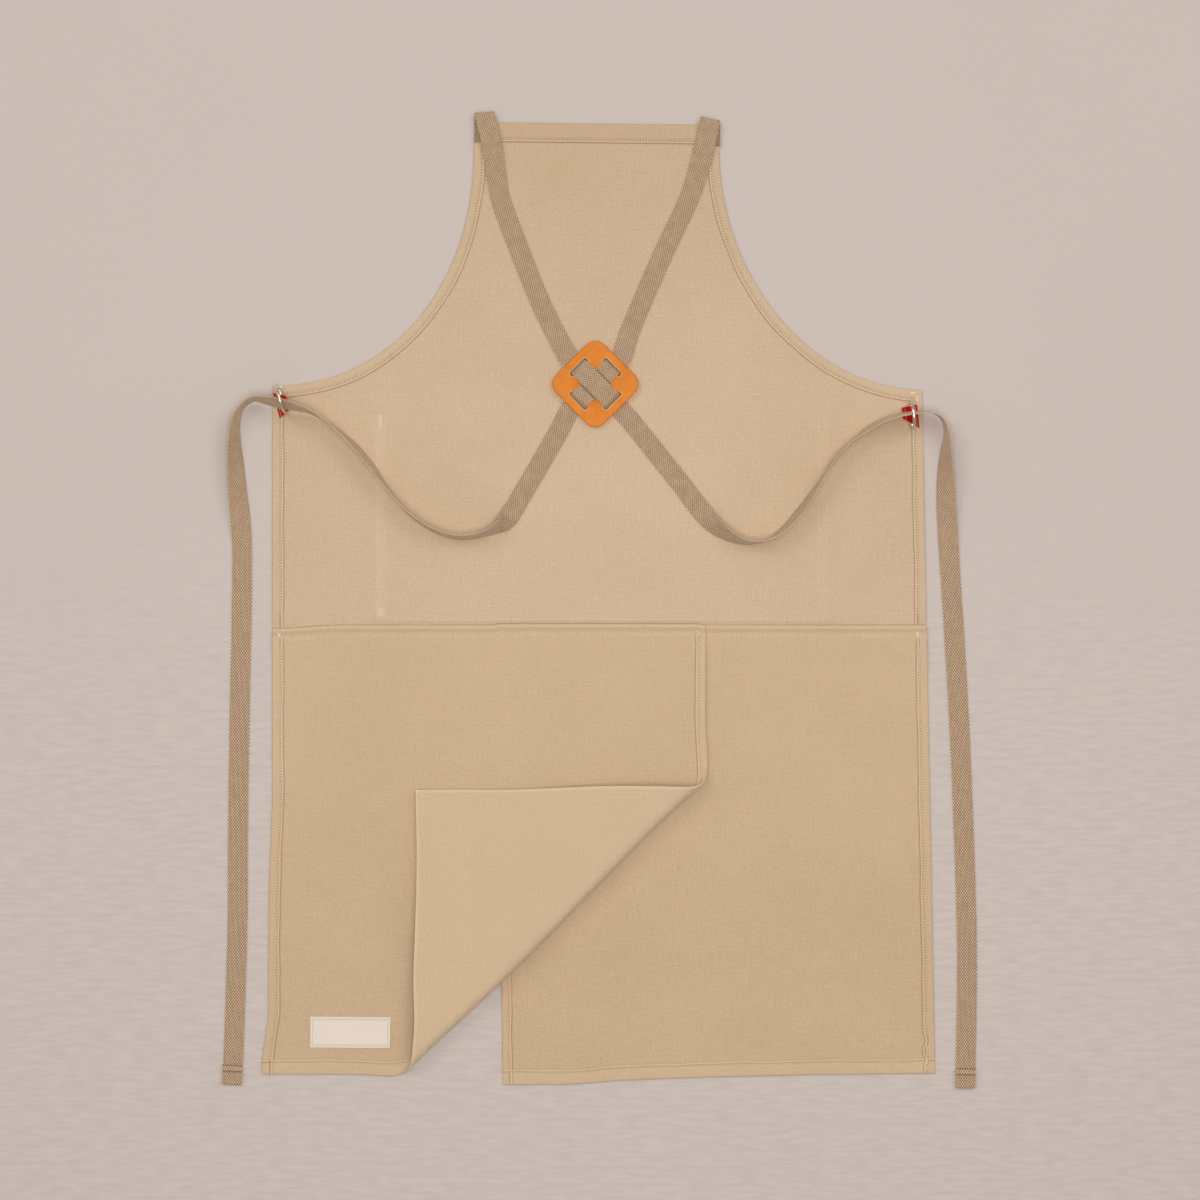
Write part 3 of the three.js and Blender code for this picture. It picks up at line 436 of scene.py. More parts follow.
def make_bib():
    """Grid of rows between the bib's edges: hem columns at set distances from the edge and columns in
    proportion between."""
    rise = LEFT_ARMHOLE["corner_y"] - BIB_BOTTOM
    by_waist = np.arange(-29, -18, 0.6) - BIB_BOTTOM
    above = np.linspace(22, rise, 68, endpoint=False)
    side_share = np.concatenate([EDGE_STEPS, [4.0, 7.0], by_waist, above]) / rise
    angle = np.linspace(np.pi / 2, 0, 92)
    below_top = hem_steps(TOP_HEM)[::-1]
    (left, left_in), (right, right_in) = bib_edges(side_share, angle, below_top)
    steps = hem_steps(SIDE_HEM)
    hem = len(steps)
    left_steps = steps + wander(left[:, 1:], steps)
    right_steps = (steps + wander(right[:, 1:] + 40, steps))[:, ::-1]
    left_part = left[:, None] + left_in[:, None] * left_steps[..., None]
    right_part = right[:, None] + right_in[:, None] * right_steps[..., None]
    share = np.linspace(0, 1, 160)[1:-1]
    inner = lerp(left_part[:, -1:], right_part[:, :1], share[:, None])
    flat = np.concatenate([left_part, inner, right_part], 1)
    x, y = flat[..., 0], flat[..., 1]
    distance = np.full(x.shape, FAR)
    distance[:, :hem] = steps
    distance[:, -hem:] = steps[::-1]
    from_top = np.full(x.shape, FAR)
    from_top[-len(below_top):] = below_top[:, None]
    from_bottom = (side_share * rise)[:, None]
    side_layer = hem_layer(distance, SIDE_HEM) * smooth(y, -26, -18)
    layer = np.maximum(side_layer, hem_layer(from_top, TOP_HEM))
    edge = np.minimum(round_edge(distance, 1.0), round_edge(from_top, 1.0))
    edge[:len(side_share)] = np.minimum(edge[:len(side_share)], round_edge(from_bottom, 0.5))
    # painted shade on the bib along the foot of the legs' raised top edge
    shade_by_leg_edge = BIB_TONES["waist"] * bell(y - waist_line(x) - 0.3, 0.45)
    tone_and_painted_light = stronger(stronger(hem_painted_light(distance, SIDE_HEM), hem_painted_light(from_top, TOP_HEM)), shade_by_leg_edge)
    tone_and_painted_light = stronger(tone_and_painted_light, BIB_TONES["pocket_strip"] * pocket_strips(x, y))
    tone_and_painted_light += BIB_TONES["pocket_row"] * below_pocket(x, y)
    tone_and_painted_light += BIB_TONES["top_hem"] * (1 - smooth(from_top, TOP_HEM - 0.5, TOP_HEM + 0.5))
    # painted shade towards the bib's top and painted light over its middle, where the light falls off
    tone_and_painted_light += BIB_TONES["top"] * smooth(y, 260, 430)
    tone_and_painted_light += BIB_TONES["middle"] * bell(x, 200) * (1 - smooth(y, 180, 330))
    return cloth_panel("bib_cloth", "bib_panel", x, y, CLOTH + layer, edge, bib_place, tone_and_painted_light)


def pocket_strips(x, y):
    """From 0 to 1 on the strips of cloth between the pocket's stitched rows, and fainter on the right one.
    """
    low, high = POCKET["bottom"], POCKET["top"]
    left, right = (plateau(x, at - 6, at - 3, at + 3, at + 6) for at in POCKET_ROWS)
    return plateau(y, low - 1, low + 1, high - 1, high + 1) * (left + 0.3 * right)


def below_pocket(x, y):
    """From 0 to 1 along the stitch row below the pocket."""
    left, right = POCKET_ROWS
    return plateau(x, left + 4, left + 12, right - 12, right - 4) * bell(y - POCKET["bottom"] + 4, 1.0)


def make_pocket():
    """Flat patch under the bib with rounded edges and a hemmed opening."""
    steps = hem_steps(SIDE_HEM)
    inner = np.linspace(0, 1, 40)[1:-1]

    def line(low, high):
        even = lerp(low + steps[-1], high - steps[-1], inner)
        return np.concatenate([low + steps, even, high - steps[::-1]])

    columns = line(POCKET["left"], POCKET["right"])
    rows = line(POCKET["bottom"], POCKET["top"])
    x, y = np.meshgrid(columns, rows)
    distance = np.minimum(
        np.minimum(x - POCKET["left"], POCKET["right"] - x),
        np.minimum(y - POCKET["bottom"], POCKET["top"] - y),
    )
    # painted shade along the foot of the hem's inner edge, where the cloth also thins
    tone_and_painted_light = bell(distance - SIDE_HEM, 0.9)
    thick = CLOTH - 0.12 * tone_and_painted_light
    return cloth_panel("pocket_cloth", "front_pocket", x, y, thick, round_edge(distance, 0.5), join, tone_and_painted_light)


def leg_grid(left, right, bottom, top, left_hem, right_hem, pucker):
    """Grid of a leg panel between its side edges, each a function of y, and its bottom and top edges,
    each a function of x, with the distances from the four edges. The right hem's inner edge puckers."""
    left_steps = hem_steps(left_hem)
    right_steps = hem_steps(right_hem)[::-1]
    bottom_steps = hem_steps(BOTTOM_HEM)
    top_steps = np.concatenate([EDGE_STEPS, np.arange(2.6, 20, 0.8)])[::-1]
    middle = np.linspace(0, 1, 114)[1:-1]
    low, high = bottom(0.0), top(0.0)
    first, last = low + bottom_steps[-1], high - top_steps[0]
    rows = np.concatenate([low + bottom_steps, lerp(first, last, middle), high - top_steps])[:, None]
    share = np.linspace(0, 1, 118)[1:-1]
    bend = pucker * 1.9 * np.sin(rows / 3.7) * plateau(rows, -476, -468, -448, -432)
    left_part = left(rows) + left_steps + wander(rows, left_steps)
    inwards = right_steps + wander(rows + 25, right_steps) + bend * smooth(right_steps, 3, 8)
    right_part = right(rows) - inwards
    x = np.concatenate([left_part, lerp(left_part[:, -1:], right_part[:, :1], share), right_part], 1)
    up = ramp(rows, first, last)
    away = {name: np.full(x.shape, FAR) for name in ("left", "right", "bottom", "top")}
    away["left"][:, :len(left_steps)] = left_steps
    away["right"][:, -len(right_steps):] = right_steps
    away["bottom"][:len(bottom_steps)] = bottom_steps[:, None]
    away["top"][-len(top_steps):] = top_steps[:, None]
    y = rows + lerp(bottom(x) - low, top(x) - high, up) + wander(x, np.where(up > 0, 0, away["bottom"]))
    return x, y, away


def leg_cloth(name, node, grid, place, left_hem, right_hem, left_end, right_end, tone=0):
    """A leg panel's layers and tones from the distances to its edges. Each side hem runs out flat up to
    its end below the waist. The waist's strip has a painted highlight along its fold, then painted shade in
    its hollow. tone is added."""
    x, y, away = grid
    hems = (
        (away["left"], left_hem, 1 - smooth(y, left_end - 8, left_end)),
        (away["right"], right_hem, 1 - smooth(y, right_end - 8, right_end)),
        (away["bottom"], BOTTOM_HEM, 1),
    )
    layer = np.zeros_like(x)
    # painted shade in the waist strip's hollow and a painted highlight along its fold
    hollow = bell(away["top"] - 5.4, 1.8)
    tone_and_painted_light = LEG_TONES["hollow"] * hollow + LEG_TONES["fold"] * bell(away["top"] - 1.6, 0.9)
    edge = round_edge(away["top"], 0.5)
    on_face = np.zeros_like(x)
    band = np.zeros_like(x)
    for distance, width, share in hems:
        layer = np.maximum(layer, hem_layer(distance, width) * share)
        tone_and_painted_light = stronger(tone_and_painted_light, hem_painted_light(distance, width) * share)
        edge = np.minimum(edge, round_edge(distance, 1.0))
        band += hem_look(width)["tone"] * (1 - smooth(distance, width - 0.5, width + 0.5)) * share
        # on the face, painted shade in each stitch row's groove and a painted highlight along the rim
        on_face += LEG_TONES["face_row_shade"] * bell(distance - stitch_row(width), 0.6)
        on_face += LEG_TONES["face_rim_highlight"] * bell(distance - 1.0, 1.1)
    thick = CLOTH + layer - 0.15 * hollow
    # the hems' paler band, and painted light that pales the upper leg where the light falls off
    tone_and_painted_light += np.maximum(band, HEM_LOOKS[BOTTOM_HEM]["tone"]) + LEG_TONES["upper"] * smooth(y, -330, -60)
    return cloth_panel(name, node, x, y, thick, edge, place, tone_and_painted_light + tone, face_painted_light=on_face)


def waist_line(x):
    """Upper edge of the skirt: it dips at the left and steps up over the lower leg's inner edge."""
    x = np.asarray(x, float)
    step = smooth(x, -105, -101) - smooth(x, 95, 107)
    return WAIST - 3.2 * (1 - smooth(x, -322, -262)) + 1.3 * step


def right_inner_x(y):
    return lerp(*RIGHT_INNER, ramp(y, WAIST, RIGHT_LOWEST))


def right_outer_x(y):
    return lerp(*RIGHT_OUTER, ramp(y, WAIST, RIGHT_LOWEST))


def right_bottom_y(x):
    return np.interp(x, *RIGHT_HEM_LINE.T)


def right_top_y(x):
    return np.full_like(np.asarray(x, float), WAIST)


def waist_lap(y):
    return smooth(y, -66, -41)


def right_place(x, y, height):
    settle = smooth(y, -484, -470) * smooth(x, -60, 10)
    low = 0.5 * waves(x + 140, y) * settle + ridges(x, y, RIGHT_RIDGES) * smooth(x, -40, 60)
    return join(x, y, WAIST_LIFT * waist_lap(y) + low + height)


def left_side_x(y):
    return np.interp(y, *LEFT_SIDE_LINE.T)


def left_inner_x(y):
    """Inner edge of the left leg: it draws in a little where the flap's upper edge sags."""
    return LEFT_INNER - 1.4 * bell(np.asarray(y, float) + 375, 55)


def left_bottom_y(x):
    """Lower hem of the left leg: it dips a little before the roll and lifts behind it."""
    x = np.asarray(x, float)
    dip = 3 * bell(x + 210, 20)
    return LEFT_BOTTOM - dip + 3 * bell(x + 138, 35)


FOLD_MIDDLE = (CORNER + TURNED) / 2
FOLD_UP = unit(TURNED - CORNER)
FOLD_ALONG = np.array([FOLD_UP[1], -FOLD_UP[0]])


def left_place(x, y, height):
    """The flat left leg carried round its roll. Across the fold line a point runs up a half circle and
    on above the leg, sinking over a cosine until the flap rests. The back stands off along the normal."""
    rel_x = x - FOLD_MIDDLE[0]
    rel_y = y - FOLD_MIDDLE[1]
    along = rel_x * FOLD_ALONG[0] + rel_y * FOLD_ALONG[1]
    q = rel_x * FOLD_UP[0] + rel_y * FOLD_UP[1]
    wider = ramp(along, ROLL["wider_from"], ROLL["wider_to"]) ** 1.5
    radius = ROLL["radius"] + ROLL["wider"] * wider
    bend = BEND["by"] * ramp(-along, BEND["start"], BEND["stop"]) ** BEND["power"]
    start = np.pi / 2 * radius + bend
    arc = np.maximum(start - q, 0)
    angle = np.minimum(arc / radius, np.pi)
    past = np.maximum(arc - np.pi * radius, 0)
    fall = np.pi * ramp(past, 0, ROLL["settle"])
    drop = 2 * radius - ROLL["rest"]
    rise = radius * (1 - np.cos(angle)) - drop * 0.5 * (1 - np.cos(fall))
    slope = -drop * 0.5 * np.sin(fall) * np.pi / ROLL["settle"]
    slack = np.where(arc > 0, ramp(past, 0, TUCK["flap"]), ramp(q - start, 0, TUCK["lying"]))
    tuck = (TUCK["by"] - TUCK["less"] * wider) * 0.5 * (1 + np.cos(np.pi * slack))
    offset = np.where(arc > 0, start - radius * np.sin(angle) + past, q) + tuck
    across = np.sin(angle) + np.where(past > 0, slope, 0)
    upright = np.cos(angle)
    length = np.hypot(across, upright)
    px = FOLD_MIDDLE[0] + FOLD_UP[0] * offset + FOLD_ALONG[0] * along
    py = FOLD_MIDDLE[1] + FOLD_UP[1] * offset + FOLD_ALONG[1] * along
    over = smooth(px, -132, -105)
    lap = waist_lap(py)
    lift = np.maximum(2.5 * over, WAIST_LIFT * lap) + 0.4 * over * lap
    lying = smooth(q, 20, 70)
    low = (0.4 * waves(x, y + 60) * smooth(y, -474, -462) + ridges(x, y, LEFT_RIDGES)) * lying
    out = height / length
    return join(
        px + FOLD_UP[0] * across * out,
        py + FOLD_UP[1] * across * out,
        lift + rise + low + upright * out,
    )


def make_right_leg():
    grid = leg_grid(right_inner_x, right_outer_x, right_bottom_y, right_top_y, RIGHT_INNER_HEM, SIDE_HEM, 1)
    hems = (RIGHT_INNER_HEM, SIDE_HEM, -56, -34)
    return leg_cloth("right_leg_cloth", "right_leg_panel", grid, right_place, *hems)


def make_left_leg():
    grid = leg_grid(left_side_x, left_inner_x, left_bottom_y, waist_line, SIDE_HEM, LEFT_INNER_HEM, 0)
    hems = (SIDE_HEM, LEFT_INNER_HEM, -34, -30)
    x, y, _ = grid
    # painted shadow on the leg beside the flap's raised left edge
    flap_shadow = np.exp(-np.abs(x - TURNED[0]) / 7) * plateau(y, -475, -450, -205, -186)
    tone = LEG_TONES["flap_shadow"] * flap_shadow
    return leg_cloth("left_leg_cloth", "left_leg_panel", grid, left_place, *hems, tone=tone)


def fold_stations(x, y, low, lay, sign):
    """Stations round a strap's folded end: a half circle seen from the side."""
    turn = np.radians([-90, -45, 0, 45, 90])
    outward = WEBBING["fold_radius"] * (np.cos(turn) - 1) * sign
    heading = np.radians(lay)
    rise = low + WEBBING["fold_radius"] * (1 + np.sin(turn))
    place = join(x + np.cos(heading) * outward, y + np.sin(heading) * outward, rise)
    return np.column_stack([place, 0 * turn, np.full(len(turn), lay)])


def strap_stations(strap):
    """All stations of a strap as rows of x, y, low, tilt and lay: sewn end, fold, way to the keeper,
    over the crossing, way to the ring and the tie end. A lay that isn't a number is read off the path."""
    sewn, end = strap["sewn"], strap["end"]
    on_hem = 2 * CLOTH + GAP
    share = np.array([0, 0.55, 0.86])
    lay = lerp(sewn["low_lay"], sewn["top_lay"], np.arange(3) / 3)
    sewn_end = join(sewn["x"], lerp(sewn["start"], sewn["fold"], share), on_hem)
    sewn_end = np.column_stack([sewn_end, np.zeros(3), lay])
    bib_fold = fold_stations(sewn["x"], sewn["fold"], on_hem, sewn["top_lay"], -1)

    under = KEEPER["bottom"] - THREADING["clearance"] - WEBBING["thickness"]
    above = KEEPER["bottom"] + KEEPER["thickness"] + GAP
    slit = (SLIT["inner"] + SLIT["outer"]) / 2
    slope, level, dip = THREADING["slope"], THREADING["level"], THREADING["dip"]
    profile = np.array([
        [slit + THREADING["lead"], under], [slit + level, under], [slit + slope, under + dip],
        [slit, (under + above) / 2], [slit - slope, above - dip], [slit - level, above],
        [WEBBING["width"] / 2 + CLOTH, strap["over"]], [0, strap["over"]],
    ])
    distance = np.concatenate([-profile[:-1, 0], profile[::-1, 0]])
    low = np.concatenate([profile[:-1, 1], profile[::-1, 1]])
    heading = np.radians(strap["heading"])
    crossing = join(KEEPER["x"] + distance * np.cos(heading), KEEPER["y"] + distance * np.sin(heading), low)

    lying = [[*row, FLOOR_REST, 0] for row in strap["lying"]]
    level_rows = np.vstack([strap["to_keeper"], crossing])
    route = np.vstack([np.column_stack([level_rows, 0 * level_rows[:, 0]]), strap["to_floor"], lying])
    route = np.column_stack([route, np.full(len(route), np.nan)])
    back = np.array([1, 0.35]) * end["back"]
    lay = np.radians(end["lay"])
    run_out = join(end["x"] - np.cos(lay) * back, end["y"] - np.sin(lay) * back, FLOOR_REST)
    run_out = np.column_stack([run_out, [0, 0], [end["lay"]] * 2])
    on_top = run_out[::-1] + [0, 0, 2 * WEBBING["fold_radius"], 0, 0]
    end_fold = fold_stations(end["x"], end["y"], FLOOR_REST, end["lay"], 1)
    return np.vstack([sewn_end, bib_fold, route, run_out, end_fold, on_top])


def centripetal(points, at):
    """Points of a centripetal Catmull-Rom curve through the given points, at station numbers."""
    padded = np.vstack([2 * points[0] - points[1], points, 2 * points[-1] - points[-2]])
    knots = np.sqrt(np.linalg.norm(np.diff(padded, axis=0), axis=1))
    span = np.clip(np.floor(at).astype(int), 0, len(points) - 2)
    share = (at - span)[:, None]
    p0, p1, p2, p3 = (padded[span + k] for k in range(4))
    d0, d1, d2 = (knots[span + k][:, None] for k in range(3))
    m1 = ((p1 - p0) / d0 - (p2 - p0) / (d0 + d1) + (p2 - p1) / d1) * d1
    m2 = ((p2 - p1) / d1 - (p3 - p1) / (d1 + d2) + (p3 - p2) / d2) * d1
    cubic = 2 * p1 - 2 * p2 + m1 + m2
    square = -3 * p1 + 3 * p2 - 2 * m1 - m2
    return ((cubic * share + square) * share + m1) * share + p1


def strap_path(strap, spacing):
    """Sections along a strap at even spacing: centre, way across, way up and length run so far."""
    stations = strap_stations(strap)
    x, y, low, tilt, lay = stations.T
    rise = WEBBING["width"] / 2 * np.abs(np.sin(np.radians(tilt)))
    half = WEBBING["thickness"] / 2 * np.abs(np.cos(np.radians(tilt)))
    centres = np.stack([x, y, low + rise + half], -1)
    before = np.clip(np.arange(len(x)) - 1, 0, None)
    after = np.clip(np.arange(len(x)) + 1, None, len(x) - 1)
    along = np.arctan2(y[after] - y[before], x[after] - x[before])
    heading = np.where(np.isnan(lay), along, np.radians(lay))
    level = np.cos(np.radians(tilt))
    across = np.stack([-np.sin(heading) * level, np.cos(heading) * level, np.sin(np.radians(tilt))], -1)
    dense = np.linspace(0, len(x) - 1, 40 * len(x))
    run = np.linalg.norm(np.diff(centripetal(centres, dense), axis=0), axis=1)
    run = np.concatenate([[0], np.cumsum(run)])
    length = np.linspace(0, run[-1], int(run[-1] / spacing) + 1)
    at = np.interp(length, run, dense)
    centre = centripetal(centres, at)
    tangent = unit(np.gradient(centre, axis=0))
    span = np.clip(np.floor(at).astype(int), 0, len(x) - 2)
    side = lerp(across[span], across[span + 1], (at - span)[:, None])
    side = unit(side - tangent * np.sum(side * tangent, 1, keepdims=True))
    return centre, side, np.cross(tangent, side), length


def tube(rings):
    """Quads and end caps of rings of points carried along a path."""
    count, around = rings.shape[:2]
    ids = np.arange(count * around).reshape(count, around)
    quads = grid_quads(np.concatenate([ids, ids[:, :1]], 1))
    return rings.reshape(-1, 3), [quads, ids[:1, ::-1], ids[-1:]]


def make_strap(name, node, strap):
    """Webbing: a flattened superellipse carried along the strap, with edges that swell at each pick.
    Its mark is below 0 along the pale bar at the turned-back end, and is painted light where the strap
    stands on edge. It is above 0 in the dark row behind the bar, and is painted shade at the cut end, on
    the sewn end and beside a strap that crosses over. The weave is finer up to the ring than on the tie
    end."""
    centre, side, up, length = strap_path(strap, PICK / 6)
    angle = 2 * np.pi * (np.arange(16) + 0.5) / 16
    across = np.sign(np.cos(angle)) * np.abs(np.cos(angle)) ** 0.3
    height = np.sign(np.sin(angle)) * np.abs(np.sin(angle)) ** 0.55
    left = length[-1] - length
    bar = plateau(left, 0.9, 1.4, 4.3, 4.9)
    half = WEBBING["width"] / 2 + 0.16 * np.cos(4 * np.pi * length / PICK) - 0.16 + 0.4 * bar
    wide = half[:, None] * across
    rings = (
        centre[:, None]
        + side[:, None] * wide[..., None]
        - up[:, None] * (height * WEBBING["thickness"] / 2)[:, None]
    )
    points, polygons = tube(rings)
    uv = np.stack([np.broadcast_to(length[:, None], wide.shape), wide], -1).reshape(-1, 2) * MM
    # painted light where the strap stands on edge; painted shade on the sewn end, beside the strap that
    # crosses over and at the cut end
    on_edge_light = smooth(1 - np.abs(up[:, 2]), 0.3, 1)
    sewn = 1 - smooth(length, 22, 29)
    middle = length[np.argmin(np.hypot(centre[:, 0] - KEEPER["x"], centre[:, 1] - KEEPER["y"]))]
    under = strap["over"] < STRAP_A["over"]
    beside = under * bell(np.abs(length - middle) - 10.8, 0.9)
    shares = dict(
        row=bell(left - 5.9, 0.8), cut_end_shade=1 - smooth(left, 0.2, 0.9), bar=bar, on_edge_light=on_edge_light,
        sewn=sewn, beside=beside,
    )
    mark = sum(MARKS[where] * share for where, share in shares.items())
    fine = smooth(left, 480, 600)
    fields = {"mark": np.repeat(mark, len(angle)), "fine": np.repeat(fine, len(angle))}
    return make_piece(name, points, polygons, "webbing", [node], uv, fields), length[-1]


def rounded_square(width, height, radius, steps):
    """Closed line round a rectangle with round corners, to the left."""
    angle = np.linspace(0, np.pi / 2, steps)
    corners = []
    for k, (sx, sy) in enumerate([(1, 1), (-1, 1), (-1, -1), (1, -1)]):
        turn = angle + k * np.pi / 2
        x = sx * (width / 2 - radius) + radius * np.cos(turn)
        y = sy * (height / 2 - radius) + radius * np.sin(turn)
        corners.append(np.stack([x, y], -1))
    return np.concatenate(corners)


# painted shade low in a slit's wall; its pale rim is partly the raw edge's own colour and partly a painted
# highlight
SLIT_TONES = np.array([0, -1, -1, -1, 0.1, 1, 1, 0])  # up a slit's wall: dark below 0, pale above


def make_keeper():
    """Leather plate: a rounded profile carried round its outline and round each slit, and flat faces
    between these lines above and below."""
    thickness = KEEPER["thickness"]
    bevel = np.radians([0, 30, 60, 90])
    inset = KEEPER["bevel"] * (1 - np.sin(bevel))
    rise = KEEPER["bevel"] * (1 - np.cos(bevel))
    profile_in = np.concatenate([inset, inset[::-1]])
    profile_up = np.concatenate([rise, thickness - rise[::-1]])
    lines = [rounded_square(KEEPER["side"], KEEPER["side"], KEEPER["corner"], 14)]
    slit = rounded_square(SLIT["length"], SLIT["outer"] - SLIT["inner"], SLIT["corner"], 7)[::-1]
    for k in range(4):
        x, y = turned(slit[:, 0], slit[:, 1] + (SLIT["inner"] + SLIT["outer"]) / 2, 90 * k)
        lines.append(np.stack([x, y], -1))
    points, quads, caps, edges, first = [], [], [[], []], [], 0
    for k, line in enumerate(lines):
        run = np.roll(line, -1, 0) - np.roll(line, 1, 0)
        inward = unit(np.stack([-run[:, 1], run[:, 0]], -1))
        flat = line + inward * profile_in[:, None, None]
        rings = join(flat[..., 0], flat[..., 1], np.broadcast_to(profile_up[:, None], flat.shape[:2]))
        ids = first + np.arange(rings.shape[0] * len(line)).reshape(rings.shape[:2])
        points.append(rings.reshape(-1, 3))
        quads.append(grid_quads(np.concatenate([ids, ids[:, :1]], 1)))
        edges.append(np.repeat(SLIT_TONES if k else np.zeros(8), len(line)))
        caps[0].append((flat[0], ids[0]))
        caps[1].append((flat[-1], ids[-1]))
        first += ids.size
    faces = []
    for cap, flip in zip(caps, (True, False)):
        numbers = np.concatenate([ids for _, ids in cap])
        loops = [[(x, y, 0.0) for x, y in flat] for flat, _ in cap]
        corners = np.array(tessellate_polygon(loops))
        xy = np.concatenate([flat for flat, _ in cap])[corners]
        left = np.cross(xy[:, 1] - xy[:, 0], xy[:, 2] - xy[:, 0]) > 0
        corners = np.where((left != flip)[:, None], corners, corners[:, ::-1])
        faces.append(numbers[corners])
    points = np.concatenate(points)
    x, y = turned(points[:, 0], points[:, 1], KEEPER["turn"])
    placed = join(KEEPER["x"] + x, KEEPER["y"] + y, KEEPER["bottom"] + points[:, 2])
    quads = np.concatenate(quads)
    return make_piece(
        "keeper_leather", placed, [quads, *faces], "leather", ["cross_keeper"],
        uv=np.stack([x, y], -1) * MM + 0.5,
        fields={"slit_rim_and_shade": np.concatenate(edges)},
        flat_after=len(quads),
    )


def ring_assembly(place, x, y, z):
    """Local coordinates of a ring, with its bar along Y, carried to its corner of the bib."""
    px, py = turned(x, y, place["turn"])
    return join(place["x"] + px, place["y"] + py, 2 * CLOTH + GAP + RING["wire"] + z)


def make_ring(name, node, place):
    """Wire ring: a circle carried along a closed line of straight bar, tight corners, sides and bow."""
    half, corner, height = RING["half_width"], RING["corner"], RING["height"]
    tight = np.linspace(-np.pi / 2, 0, 8)
    bow = np.linspace(0, np.pi, 40)
    bar = np.linspace(corner - half, half - corner, 16)[1:-1]
    y = np.concatenate([bar, half - corner + corner * np.cos(tight), half * np.cos(bow),
                        corner - half + corner * np.cos(tight - np.pi / 2)])
    z = np.concatenate([0 * bar, corner + corner * np.sin(tight), height - half + half * np.sin(bow),
                        corner + corner * np.sin(tight - np.pi / 2)])
    run = unit(np.stack([np.roll(y, -1) - np.roll(y, 1), np.roll(z, -1) - np.roll(z, 1)], -1))
    angle = 2 * np.pi * np.arange(18) / 18
    out = RING["wire"] * np.cos(angle)
    ring_y = y[:, None] + run[:, 1:] * out
    ring_z = z[:, None] - run[:, :1] * out
    ring_x = np.broadcast_to(RING["wire"] * np.sin(angle), ring_y.shape)
    points = ring_assembly(place, ring_x, ring_y, ring_z)
    ids = np.arange(points.size // 3).reshape(points.shape[:2])
    ids = np.concatenate([ids, ids[:, :1]], 1)
    ids = np.concatenate([ids, ids[:1]], 0)
    return make_piece(name, points.reshape(-1, 3), [grid_quads(ids)[:, ::-1]], "ring_metal", [node])


def tab_line(place):
    """Middle line of a tab across the ring's bar: a foot, a hump round the wire and the other foot."""
    radius = RING["wire"] + GAP + TAB["thickness"] / 2
    foot = TAB["thickness"] / 2 - RING["wire"]
    right, left = place["inner_foot"], TAB["outer_foot"]
    if place["inward"] < 0:
        right, left = left, right
    angle = np.radians([15, 40, 65, 90, 115, 140, 165])
    beside = np.array([2, 1.35]) * radius
    x = np.concatenate([[right, *beside], radius * np.cos(angle), [*-beside[::-1], -left]])
    z = np.concatenate([[foot, foot, foot + 0.4], radius * np.sin(angle), [foot + 0.4, foot, foot]])
    points = np.stack([x, 0 * x, z], -1)
    line = centripetal(points, np.linspace(0, len(x) - 1, TAB["sections"]))
    run = unit(np.gradient(line[:, [0, 2]], axis=0))
    return line[:, 0], line[:, 2], -run[:, 1], run[:, 0]


def tab_ends(place, x):
    """Lower and upper end of a tab along the bar, from its outer foot to its inner one."""
    share = ramp(x * place["inward"], -TAB["outer_foot"], place["inner_foot"])
    return (lerp(place["outer"][k], place["inner"][k], share) for k in (0, 1))


def edged(half, count):
    """Places across a width: close together at both edges and even between them."""
    even = np.linspace(-half, half, count)[2:-2]
    return np.concatenate([-half + EDGE_STEPS, even, half - EDGE_STEPS[::-1]])


def make_tab(name, node, place):
    """Tape over the ring's bar: its middle line carried along the bar between slanting ends, thinned to
    rounded edges."""
    x, z, normal_x, normal_z = tab_line(place)
    half = TAB["tape"] / 2
    flat = edged(half, 14)
    section = np.arange(TAB["sections"])
    from_end = np.minimum(section, section[::-1])[:, None] * 0.35
    edge = np.minimum(round_edge(half - np.abs(flat), 0.5), round_edge(from_end, 0.5))
    low, high = tab_ends(place, x[:, None])
    y = lerp(low, high, flat / TAB["tape"] + 0.5)
    stand = TAB["thickness"] / 2 * edge

    def side(sign):
        px = x[:, None] + sign * normal_x[:, None] * stand
        pz = z[:, None] + sign * normal_z[:, None] * stand
        return ring_assembly(place, px, np.broadcast_to(y, px.shape), pz)

    points, quads = sheet_mesh(side(-1), side(1))
    run = np.concatenate([[0], np.cumsum(np.hypot(np.diff(x), np.diff(z)))])
    uv = np.stack(np.broadcast_arrays(run[:, None], y), -1)
    return make_piece(name, points, [quads], "tape", [node], both_sides(uv) * MM), run[-1]


def label_place(x, y, height):
    """Label coordinates carried onto the left leg, a little above its back."""
    px, py = turned(x, y, LABEL["turn"])
    lying = left_place(px + LABEL["x"], py + LABEL["y"], CLOTH + 0.12 + height)
    return lying + [0, 0, 1] * (0.25 * waves(px * 3, py * 3))[..., None]


def make_label():
    """Small flat rectangle with rounded edges."""
    half_x, half_y = LABEL["width"] / 2, LABEL["height"] / 2
    x, y = np.meshgrid(edged(half_x, 44), edged(half_y, 20))
    distance = np.minimum(half_x - np.abs(x), half_y - np.abs(y))
    # darker along the stitch row, where the label also thins
    tone_and_painted_light = bell(distance - LABEL["row"], 0.6)
    thick = LABEL["thickness"] - 0.2 * tone_and_painted_light
    edge = round_edge(distance, 0.4)
    return cloth_panel("label_cloth", "care_label", x, y, thick, edge, label_place, tone_and_painted_light, "label")


def stitch_run(line, pitch, length):
    """Starts and ends of stitches at even pitch along a flat line of points."""
    run = np.concatenate([[0], np.cumsum(np.linalg.norm(np.diff(line, axis=0), axis=1))])
    middle = np.arange(pitch / 2, run[-1], pitch)

    def at(place):
        return np.stack([np.interp(place, run, line[:, k]) for k in (0, 1)], -1)

    return at(middle - length / 2), at(middle + length / 2)


